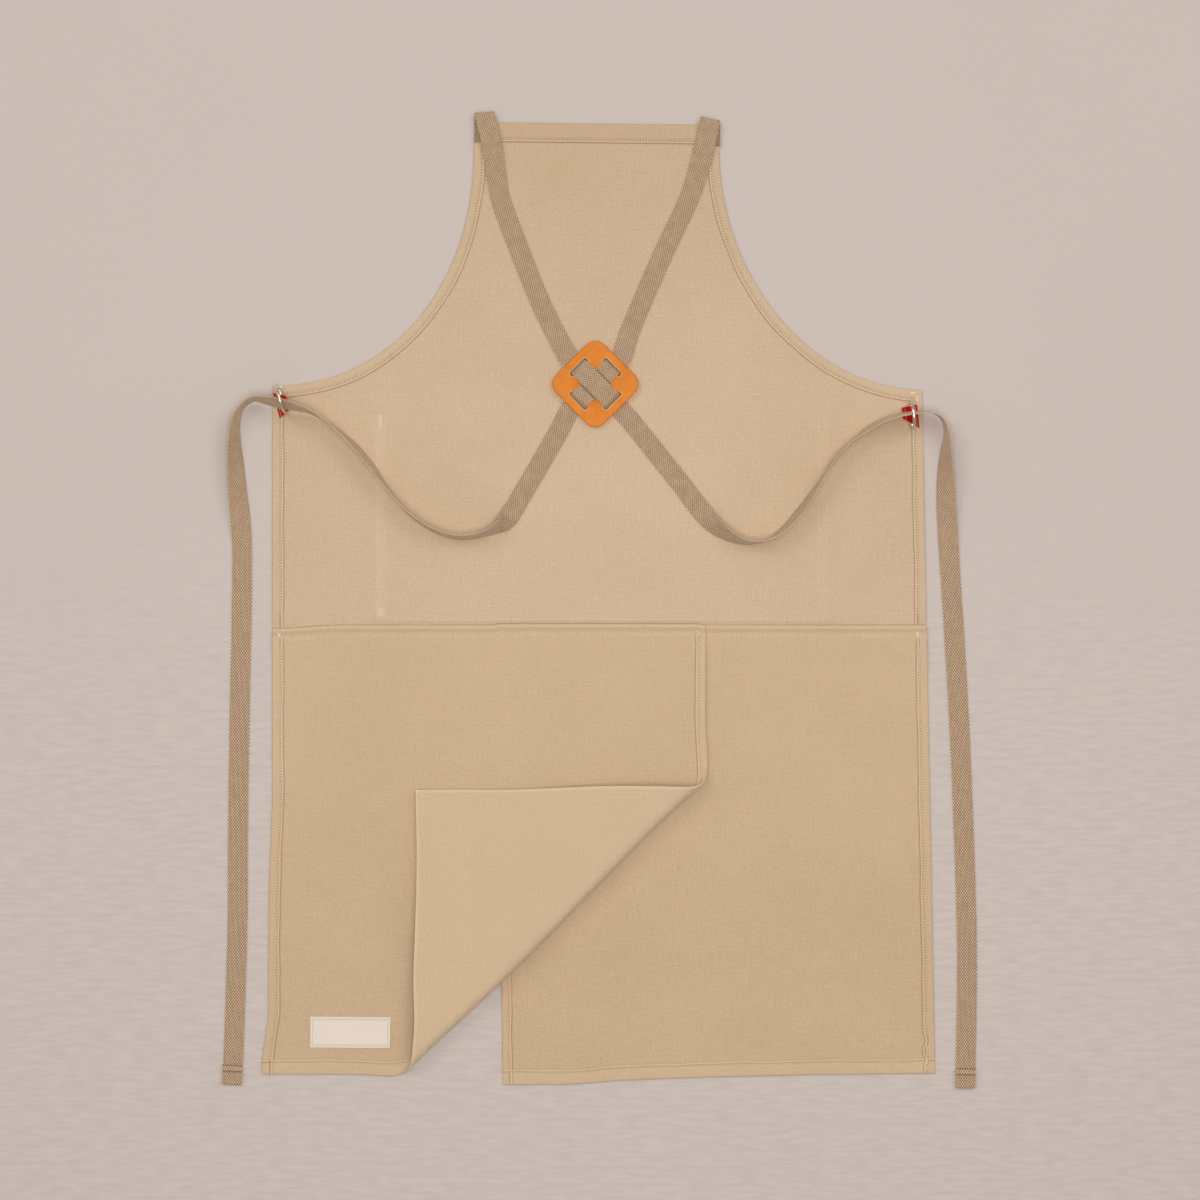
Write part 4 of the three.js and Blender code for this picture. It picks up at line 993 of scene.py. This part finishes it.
def cross_run(line, pitch, width):
    """Starts and ends of stitches that stand across a flat line."""
    a, b = stitch_run(line, pitch, 0.5)
    run = unit(b - a)
    across = np.stack([-run[:, 1], run[:, 0]], -1) * width / 2
    return a - across, b + across


def bar_tack(x, y, heading, length, width):
    """Starts and ends of the close threads of a bar tack, each across its length."""
    at = np.arange(0, length, 0.6) - length / 2
    ends = []
    for sign in (-1, 1):
        px, py = turned(at + 0.25 * sign, np.full_like(at, sign * width / 2), heading)
        ends.append(np.stack([x + px, y + py], -1))
    return ends


def knot(place, x, y):
    """Short tacks across each other, where a row ends in a tangle."""
    tacks = [bar_tack(x, y, heading, KNOT["length"], KNOT["width"]) for heading in KNOT["headings"]]
    return [sew(place, tack, CLOTH - KNOT["sunk"]) for tack in tacks]


def sew(place, ends, height, out=1):
    """Carries stitches onto a panel at a height, standing up, or down from its face where out is -1."""
    a, b = ends
    start = place(a[:, 0], a[:, 1], np.full(len(a), height))
    stop = place(b[:, 0], b[:, 1], np.full(len(b), height))
    above = place(a[:, 0], a[:, 1], np.full(len(a), height + out))
    return start, stop, unit(above - start)


def make_thread(name, seams, slot, radius):
    """All stitches of some seams as one mesh: each a spindle of rings between two points, a little
    arched away from the cloth."""
    start, stop, up = (np.concatenate(part) for part in zip(*seams))
    run = stop - start
    direction = unit(run)
    up = unit(up - direction * np.sum(up * direction, 1, keepdims=True))
    side = np.cross(up, direction)
    share = np.array([0.12, 0.4, 0.6, 0.88])
    swell = np.array([0.7, 1, 1, 0.7]) * radius
    angle = 2 * np.pi * np.arange(6) / 6
    centre = start[:, None] + run[:, None] * share[:, None] + up[:, None] * (swell * 0.35)[:, None]
    ring = (
        side[:, None, None] * (swell[:, None] * np.cos(angle))[..., None]
        + up[:, None, None] * (0.75 * swell[:, None] * np.sin(angle))[..., None]
    )
    rings = (centre[:, :, None] + ring).reshape(len(start), -1, 3)
    tips = np.stack([start, stop], 1) - up[:, None] * 0.1
    points = np.concatenate([rings, tips], 1)
    ids = np.arange(24).reshape(4, 6)
    closed = np.concatenate([ids, ids[:, :1]], 1)
    quads = grid_quads(closed)
    first = np.stack([np.full(6, 24), closed[0, 1:], closed[0, :-1]], -1)
    last = np.stack([np.full(6, 25), closed[-1, :-1], closed[-1, 1:]], -1)
    shift = (np.arange(len(start)) * 26)[:, None, None]
    return make_piece(
        name, points.reshape(-1, 3),
        [(quads + shift).reshape(-1, 4), (np.concatenate([first, last]) + shift).reshape(-1, 3)], slot,
    )


def upright(x, low, high):
    return np.array([[x, low], [x, high]], float)


def level_line(y, low, high, count=60):
    x = np.linspace(low, high, count)
    return np.stack([x, np.broadcast_to(y(x) if callable(y) else y, x.shape)], -1)


HEM_TOP = CLOTH + float(hem_layer(stitch_row(SIDE_HEM), SIDE_HEM)) + 0.05


def hem_rows(place, lines, length=STITCH):
    """Stitch rows on top of a hem."""
    return [sew(place, stitch_run(line, PITCH, length), HEM_TOP) for line in lines]


def bib_seams():
    """Hem rows up the sides, round the armholes and along the top, and tacks at the side corners."""
    rows = []
    side_share = np.linspace(0.1, 1, 60)
    angle = np.linspace(np.pi / 2, 0, 120)
    below_top = np.linspace(26, TOP_HEM, 6)
    for line, inward in bib_edges(side_share, angle, below_top):
        shift = wander(line[:, 1:] + (0 if inward[0, 0] > 0 else 40))
        rows.append(line + inward * (stitch_row(SIDE_HEM) + shift))

    def top(x):
        share = ramp(x, LEFT_ARMHOLE["top_x"], RIGHT_ARMHOLE["top_x"])
        return lerp(BIB_TOP_LEFT, BIB_TOP_RIGHT, share) - stitch_row(TOP_HEM)

    rows.append(level_line(top, -122, 115))
    tacks = ((-320.8, 213.0, 0, 6.5, 2.4), (312.8, 207.0, 0, 4.5, 1.8), (316.8, 200.8, 90, 4, 1.8))
    return hem_rows(bib_place, rows) + [sew(bib_place, bar_tack(*tack), HEM_TOP) for tack in tacks]


def pocket_seams():
    """Two rows up each side of the pocket, bar tacks at their ends and a row below it."""
    left, right = POCKET_ROWS
    low, high = POCKET["bottom"], POCKET["top"]
    pitch, across, height = POCKET_STITCH["pitch"], POCKET_STITCH["across"], CLOTH - POCKET_STITCH["sunk"]
    seams = []
    for x, sunk in ((left, POCKET_STITCH["sunk"]), (right, POCKET_STITCH["right_sunk"])):
        for side in (-1, 1):
            line = upright(x + side * POCKET_STITCH["half"], low, high)
            seams.append(sew(bib_place, stitch_run(line, pitch, POCKET_STITCH["up"]), CLOTH - sunk))
    tacks = (
        (left, high - 8, 90, 14, 7), (left, low + 4, 90, 9, 9.5), (right - 4, high - 13, 90, 2.4, 2.4),
        (right - 4.5, low - 3, 90, 2.0, 1.6), (right + 0.5, low - 3, 90, 2.0, 1.6),
    )
    seams += [sew(bib_place, bar_tack(*tack), height) for tack in tacks]
    lower = level_line(low - POCKET_STITCH["below"], left + 8, right - 8)
    seams.append(sew(bib_place, stitch_run(lower, pitch, across), height))
    return seams


def waist_run(y, low, high):
    return cross_run(level_line(y, low, high), WAIST_ROW["pitch"], WAIST_ROW["width"])


def bottom_row(bottom, low, high, count):
    """Line of the stitch row in a leg's lower hem."""
    return level_line(lambda x: bottom(x) + stitch_row(BOTTOM_HEM) + wander(x), low, high, count)


def right_seams():
    """Rows along the right leg's sides and lower hem, and the tangle at its waist."""
    y = np.linspace(-470, -44, 120)
    sides = [
        np.stack([right_outer_x(y) - stitch_row(SIDE_HEM) - wander(y + 25), y], -1),
        np.stack([right_inner_x(y) + stitch_row(RIGHT_INNER_HEM) + wander(y), y], -1),
    ]
    bottom = bottom_row(right_bottom_y, -95, 331, 160)
    hems = hem_rows(right_place, sides) + hem_rows(right_place, [bottom], BOTTOM_STITCH)
    return hems + knot(right_place, 317.5, WAIST - 9)


def left_seams():
    """Rows on the back where the leg lies, and the rows that run on round the fold to the face."""
    y = np.linspace(-459, -42, 120)
    outer = np.stack([left_side_x(y) + stitch_row(SIDE_HEM) + wander(y), y], -1)
    y = np.linspace(-470, -42, 120)
    inner = np.stack([left_inner_x(y) - stitch_row(LEFT_INNER_HEM) - wander(y + 25), y], -1)
    bottom = bottom_row(left_bottom_y, -327, LEFT_INNER - 3, 200)
    seams = hem_rows(left_place, [outer, inner]) + hem_rows(left_place, [bottom], BOTTOM_STITCH)
    seams.append(sew(left_place, bar_tack(98.5, WAIST - 10, 75, 6, 2.0), CLOTH))
    seams += knot(left_place, -320.5, WAIST - 10)
    face = [sew(left_place, stitch_run(line, PITCH, STITCH), 0.2, -1) for line in (inner, bottom)]
    return seams, face


def label_seams():
    """A row round the label, inside its edge."""
    x, y = LABEL["width"] / 2 - LABEL["row"], LABEL["height"] / 2 - LABEL["row"]
    line = np.array([[-x, -y], [x, -y], [x, y], [-x, y], [-x, -y]], float)
    return [sew(label_place, stitch_run(line, 2.3, 1.7), LABEL["thickness"] - 0.2)]


def strap_seams():
    """A row across each tie end's turned-back piece, and one across each sewn end."""
    seams = []
    reach, half, stand = STRAP_STITCH["reach"], STRAP_STITCH["half"], STRAP_STITCH["stand"]
    across = np.arange(-reach, reach + 0.1, STRAP_STITCH["pitch"])[:, None]
    for strap in (STRAP_A, STRAP_B):
        centre, side, up, _ = strap_path(strap, 1.0)
        for at in STRAP_STITCH["sections"]:
            start = centre[at] + side[at] * (across - half) + up[at] * stand
            stop = centre[at] + side[at] * (across + half) + up[at] * stand
            seams.append((start, stop, np.broadcast_to(up[at], start.shape)))
    return seams


def tab_seams():
    """A row of stitches on each foot of both tabs."""
    seams = []
    for place in RING_PLACES.values():
        x, z, normal_x, normal_z = tab_line(place)
        for at in TAB_STITCH["sections"]:
            low, high = tab_ends(place, x[at])
            y = np.arange(low + TAB_STITCH["low"], high - TAB_STITCH["high"], TAB_STITCH["pitch"])
            stand = -(TAB["thickness"] / 2 + 0.02)
            px = np.full_like(y, x[at] + normal_x[at] * stand)
            pz = np.full_like(y, z[at] + normal_z[at] * stand)
            start = ring_assembly(place, px, y - TAB_STITCH["half"], pz)
            stop = ring_assembly(place, px, y + TAB_STITCH["half"], pz)
            seams.append((start, stop, np.broadcast_to([0.0, 0.0, 1.0], start.shape)))
    return seams


class Shade:
    """A socket in a material. Arithmetic on it adds Math nodes, and node adds any other node."""

    def __init__(self, tree, socket):
        self.tree = tree
        self.socket = socket

    def node(self, kind, settings=None, output=0, **inputs):
        made = self.tree.nodes.new("ShaderNode" + kind)
        for name, value in (settings or {}).items():
            setattr(made, name, value)
        for name, value in inputs.items():
            place = int(name[1:]) if name[1:].isdigit() else name.replace("_", " ")
            if isinstance(value, Shade):
                self.tree.links.new(value.socket, made.inputs[place])
            else:
                made.inputs[place].default_value = value
        return Shade(self.tree, made.outputs[output])

    def math(self, operation, a, b=0.0):
        return self.node("Math", {"operation": operation}, i0=a, i1=b)

    def __add__(self, other):
        return self.math("ADD", self, other)

    __radd__ = __add__

    def __mul__(self, other):
        return self.math("MULTIPLY", self, other)

    __rmul__ = __mul__

    def __sub__(self, other):
        return self.math("SUBTRACT", self, other)

    def __rsub__(self, other):
        return self.math("SUBTRACT", other, self)

    def coords(self, kind):
        return self.node("TexCoord", output=kind)

    def attribute(self, name):
        return self.node("Attribute", {"attribute_name": name}, output="Fac")

    def eased(self, start, stop):
        """From 0 to 1 between start and stop, level at both."""
        smoothly = {"interpolation_type": "SMOOTHSTEP"}
        return self.node("MapRange", smoothly, Value=self, From_Min=start, From_Max=stop)

    def above(self):
        """The value where it is above 0, and else 0."""
        return self.math("MAXIMUM", self, 0.0)

    def below(self):
        """How far the value is below 0, and else 0."""
        return (self * -1.0).above()

    def sin(self):
        return self.math("SINE", self)

    def absolute(self):
        return self.math("ABSOLUTE", self)

    def floor(self):
        return self.math("FLOOR", self)

    def fraction(self):
        return self.math("FRACT", self)

    def stretched(self, x, y):
        return self.node("VectorMath", {"operation": "MULTIPLY"}, i0=self, i1=(x, y, 1.0))

    def noise(self, scale, detail=2.0, rough=0.5):
        return self.node("TexNoise", Vector=self, Scale=scale, Detail=detail, Roughness=rough)

    def mix(self, a, b):
        return self.node("Mix", {"data_type": "RGBA"}, output="Result", i0=self, i6=a, i7=b)

    def parts(self):
        split = self.node("SeparateXYZ", Vector=self)
        return split, Shade(self.tree, split.socket.node.outputs[1])


def linear(r, g, b):
    """Colour from 0 to 255 as it is seen, in the light's own scale."""
    seen = np.array([r, g, b]) / 255
    light = np.where(seen <= 0.04045, seen / 12.92, ((seen + 0.055) / 1.055) ** 2.4)
    return (*light.tolist(), 1.0)


def new_material(name, roughness, metallic=0.0, specular=0.3, sheen=0.0):
    """A material with its constant values set, and its start for expressions."""
    material = bpy.data.materials.new(name)
    material.use_nodes = True
    tree = material.node_tree
    shader = tree.nodes["Principled BSDF"]
    shader.inputs["Roughness"].default_value = roughness
    shader.inputs["Metallic"].default_value = metallic
    shader.inputs["Specular IOR Level"].default_value = specular
    shader.inputs["Sheen Weight"].default_value = sheen
    return material, Shade(tree, None), shader


def finish_material(start, shader, colour, height, strength, distance, roughness=None):
    """Links the colour, a bump from the height field and, where it varies, the roughness."""
    tree = start.tree
    tree.links.new(colour.socket, shader.inputs["Base Color"])
    bump = start.node("Bump", Strength=strength, Distance=distance, Height=height)
    tree.links.new(bump.socket, shader.inputs["Normal"])
    if roughness is not None:
        tree.links.new(roughness.socket, shader.inputs["Roughness"])


def woven_material(name, dark, light, pitch):
    """Plain weave: threads cross over and under at each pitch, with uneven slubs along both ways,
    a slow change of tone, and a tone per point: warm and dark above 0, where it is painted shade and darker
    cloth, and pale below 0, where it is painted highlight and paler cloth."""
    material, start, shader = new_material(name, 0.9, sheen=0.2)
    flat = start.coords("UV")
    u, v = flat.parts()
    cross = (u * (np.pi / pitch)).sin() * (v * (np.pi / pitch)).sin()
    warp = flat.stretched(900.0, 45.0).noise(1.0, 2.0)
    weft = flat.stretched(45.0, 900.0).noise(1.0, 2.0)
    tone = flat.noise(9.0, 3.0)
    grain = flat.noise(420.0, 2.0, 0.6)
    tone_and_painted_light = start.attribute("tone_and_painted_light")
    slubs = (warp - 0.5) * 0.4 + (weft - 0.5) * 0.4
    share = 0.5 + slubs + (tone - 0.5) * 0.35 + (grain - 0.5) * 0.8 + cross * 0.08
    cloth = share.mix(linear(*dark), linear(*light))
    # a warm painted shade colour, and a pale colour for painted highlights and paler cloth
    shade = tuple(np.multiply(linear(*dark), (0.76, 0.65, 0.52, 1.0)))
    pale = tuple(np.minimum(1.0, np.multiply(linear(*light), (1.12, 1.15, 1.2, 1.0))))
    dark_share = tone_and_painted_light.above() * 0.75
    pale_share = tone_and_painted_light.below() * 0.6
    colour = pale_share.mix(dark_share.mix(cloth, shade), pale)
    height = cross * 0.5 + warp * 0.5 + weft * 0.5 + grain * 0.8
    finish_material(start, shader, colour, height, 0.3, 0.0004)
    return material


def webbing_material():
    """Webbing: ribs of floats, each rib shifted by half a pick against the next."""
    material, start, shader = new_material("cotton_webbing", 0.85, sheen=0.2)
    flat = start.coords("UV")
    u, v = flat.parts()
    across = v * (1 / (RIB * MM))
    rib = across.floor()
    shift = (rib * 0.5).fraction()
    floats = ((u * (1 / (PICK * MM)) + shift) * np.pi).sin().absolute()
    ribs = (across.fraction() * np.pi).sin()
    weave = floats * ribs
    tone = flat.noise(120.0, 3.0)
    # painted highlight along both selvedges
    edge = v.absolute().eased(0.0096, 0.01)
    fine = start.attribute("fine")
    share = (weave - 0.4) * (1.3 - fine * 0.45) + (tone - 0.5) * 0.3 + edge * 0.5 + 0.42
    # above 0 the mark darkens towards painted shade and the tie end's dark row; below 0 it pales towards
    # painted light on standing webbing and the tie end's pale bar
    mark = start.attribute("mark")
    plain = share.mix(linear(118, 88, 62), linear(228, 198, 164))
    marked = mark.above().mix(plain, linear(84, 60, 40))
    colour = (mark.below() * 0.4).mix(marked, linear(216, 188, 154))
    finish_material(start, shader, colour, weave, 0.6, 0.0006)
    return material


def leather_material():
    """Smooth leather: fine pores, cloudy tone, and slits with pale rims, partly the raw edge's own colour
    and partly a painted highlight, and walls darkened with painted shade.
    """
    material, start, shader = new_material("tan_leather", 0.5, specular=0.2)
    place = start.coords("Object")
    slit_rim_and_shade = start.attribute("slit_rim_and_shade")
    cloud = place.noise(70.0, 3.0)
    pores = place.node("TexVoronoi", Vector=place, Scale=1300.0)
    grain = place.noise(800.0, 3.0)
    share = 0.5 + (cloud - 0.5) * 1.6 + (grain - 0.5) * 0.5
    skin = share.mix(linear(206, 112, 22), linear(228, 136, 44))
    # pale rims, partly the raw edge's own colour and partly a painted highlight; dark walls, painted shade
    # in the slits
    pale = slit_rim_and_shade.above() * 0.8
    deep = slit_rim_and_shade.below() * 0.85
    colour = deep.mix(pale.mix(skin, linear(244, 192, 144)), linear(72, 38, 14))
    finish_material(start, shader, colour, pores * 0.6 + grain * 0.5, 0.25, 0.0003, 0.42 + grain * 0.2)
    return material


def wire_material():
    """Polished wire with faint draw marks."""
    material, start, shader = new_material("pale_wire", 0.2, metallic=1.0, specular=0.5)
    place = start.coords("Object")
    marks = place.stretched(1.0, 0.2).noise(900.0, 3.0)
    colour = marks.mix(linear(205, 196, 176), linear(240, 234, 218))
    finish_material(start, shader, colour, marks, 0.05, 0.0002, 0.14 + marks * 0.16)
    return material


def tape_material():
    """Twill tape: fine diagonal ribs."""
    material, start, shader = new_material("red_tape", 0.85, specular=0.15)
    flat = start.coords("UV")
    u, v = flat.parts()
    twill = ((u + v) * (2 * np.pi / 0.0011)).sin() * 0.5 + 0.5
    tone = flat.noise(300.0, 3.0)
    share = twill * 0.5 + tone * 0.5
    colour = share.mix(linear(160, 6, 8), linear(214, 22, 20))
    finish_material(start, shader, colour, twill + tone * 0.4, 0.5, 0.0003)
    return material


def thread_material(name, dark, light):
    """Sewing thread: an uneven tone along each stitch."""
    material, start, shader = new_material(name, 0.75, sheen=0.2)
    place = start.coords("Object")
    twist = place.noise(1400.0, 2.0)
    colour = twist.mix(linear(*dark), linear(*light))
    finish_material(start, shader, colour, twist, 0.3, 0.0002)
    return material


def floor_material():
    """Pale paper with a faint cloudiness."""
    material, start, shader = new_material("pale_paper", 0.95, specular=0.1)
    place = start.coords("Object")
    cloud = place.noise(3.0, 3.0)
    fibre = place.stretched(45.0, 230.0).noise(1.0, 3.0)
    _, far = place.parts()
    near = far.eased(0.2, -0.2)
    share = 0.5 + (cloud - 0.5) * 0.3 + (fibre - 0.5) * near * 3.4
    colour = share.mix(linear(196, 184, 178), linear(204, 192, 185))
    finish_material(start, shader, colour, fibre, 0.05, 0.0004)
    return material


def dress(piece, material):
    piece.data.materials.clear()
    piece.data.materials.append(material)


bib = make_bib()
pocket = make_pocket()
right_leg = make_right_leg()
left_leg = make_left_leg()
label = make_label()
strap_a, length_a = make_strap("strap_a_webbing", "strap_a", STRAP_A)
strap_b, length_b = make_strap("strap_b_webbing", "strap_b", STRAP_B)
keeper = make_keeper()
wires = [make_ring(f"ring_{side}_wire", f"ring_{side}", place) for side, place in RING_PLACES.items()]
tabs = {
    side: make_tab(f"tab_{side}_tape", f"ring_tab_{side}", place) for side, place in RING_PLACES.items()
}

legs = [right_leg, left_leg]
dressed = (
    (woven_material("cotton_canvas", (186, 159, 128), (218, 193, 163), 0.00062), [bib, pocket]),
    (woven_material("cotton_canvas_skirt", (181, 153, 120), (215, 188, 155), 0.00062), legs),
    (woven_material("label_weave", (222, 205, 190), (240, 228, 216), 0.0004), [label]),
    (webbing_material(), [strap_a, strap_b]),
    (leather_material(), [keeper]),
    (wire_material(), wires),
    (tape_material(), [tab for tab, _ in tabs.values()]),
)
for material, pieces in dressed:
    for piece in pieces:
        dress(piece, material)

right_waist = waist_run(WAIST - WAIST_ROW["below"], 107, 322)
left_waist = waist_run(lambda x: waist_line(x) - WAIST_ROW["below"], -318, 94)
left_back, left_face = left_seams()
corner_row = stitch_run(upright(-330, -472, -460), 2.6, 1.9)
# seams, slot, thread and the thread's radius
sewn = dict(
    bib_stitches=(bib_seams(), "canvas", "tan_thread", 0.55),
    pocket_stitches=(pocket_seams(), "canvas", "faint_thread", 0.35),
    right_waist_stitches=([sew(right_place, right_waist, CLOTH)], "canvas", "faint_thread", 0.34),
    left_waist_stitches=([sew(left_place, left_waist, CLOTH)], "canvas", "faint_thread", 0.34),
    right_leg_stitches=(right_seams(), "canvas", "tan_thread", 0.55),
    left_leg_stitches=(left_back, "canvas", "tan_thread", 0.55),
    flap_stitches=(left_face, "canvas", "face_thread", 0.45),
    label_stitches=(label_seams(), "label", "label_thread", 0.3),
    corner_stitches=([sew(left_place, corner_row, HEM_TOP)], "canvas", "rust_thread", 0.5),
    strap_stitches=(strap_seams(), "webbing", "brown_thread", 0.5),
    tab_stitches=(tab_seams(), "tape", "pale_thread", 0.25),
)
# darker and lighter tone of each thread
tones = dict(
    tan_thread=((226, 203, 171), (245, 227, 199)),
    faint_thread=((213, 189, 157), (234, 212, 182)),
    face_thread=((226, 203, 173), (244, 226, 200)),
    label_thread=((176, 154, 128), (204, 186, 162)),
    rust_thread=((150, 112, 76), (176, 138, 100)),
    brown_thread=((96, 68, 44), (132, 100, 70)),
    pale_thread=((200, 184, 164), (222, 208, 190)),
)
thread_looks = {name: thread_material(name, *pair) for name, pair in tones.items()}
threads = {}
for name, (seams, slot, look, radius) in sewn.items():
    threads[name] = make_thread(name, seams, slot, radius)
    dress(threads[name], thread_looks[look])

length_a * MM
length_b * MM

# Floor, light and camera
FLOOR_HALF = 6.0
FLOOR_LEVEL = -0.0003
floor_mesh = bpy.data.meshes.new("floor")
floor_corners = [
    (x * FLOOR_HALF, y * FLOOR_HALF, FLOOR_LEVEL) for x, y in ((-1, -1), (1, -1), (1, 1), (-1, 1))
]
floor_mesh.from_pydata(floor_corners, [], [(0, 1, 2, 3)])
floor = bpy.data.objects.new("floor", floor_mesh)
bpy.context.scene.collection.objects.link(floor)
dress(floor, floor_material())

world = bpy.data.worlds.new("studio")
world.use_nodes = True
world.node_tree.nodes["Background"].inputs["Color"].default_value = (1.0, 0.985, 0.965, 1.0)
world.node_tree.nodes["Background"].inputs["Strength"].default_value = 0.334
bpy.context.scene.world = world


def softbox(name, place, aim, size, power):
    """A large soft lamp that shines from its place to its aim."""
    lamp = bpy.data.lights.new(name, "AREA")
    lamp.shape = "RECTANGLE"
    lamp.size, lamp.size_y = size
    lamp.energy = power
    lamp.color = (1.0, 0.98, 0.95)
    holder = bpy.data.objects.new(name, lamp)
    holder.location = place
    way = np.array(aim) - np.array(place)
    flat = np.hypot(way[0], way[1])
    holder.rotation_euler = (np.arctan2(flat, -way[2]), 0, np.arctan2(way[1], way[0]) - np.pi / 2)
    bpy.context.scene.collection.objects.link(holder)


softbox("above", (0.0, -0.35, 3.6), (0.0, -0.34, 0.0), (1.8, 1.8), 62.5)
for side in (-1, 1):
    softbox(f"side_{side}", (2.0 * side, 1.7, 2.6), (0.0, 0.0, 0.0), (1.6, 1.6), 26.3)

CAMERA_HEIGHT = 3.0
FRAME = 1.2
lens = bpy.data.cameras.new("camera")
lens.sensor_width = 36.0
lens.lens = lens.sensor_width * CAMERA_HEIGHT / FRAME
camera = bpy.data.objects.new("camera", lens)
camera.location = (0.0, 0.0, CAMERA_HEIGHT)
bpy.context.scene.collection.objects.link(camera)
bpy.context.scene.camera = camera
bpy.context.scene.view_settings.view_transform = "Standard"
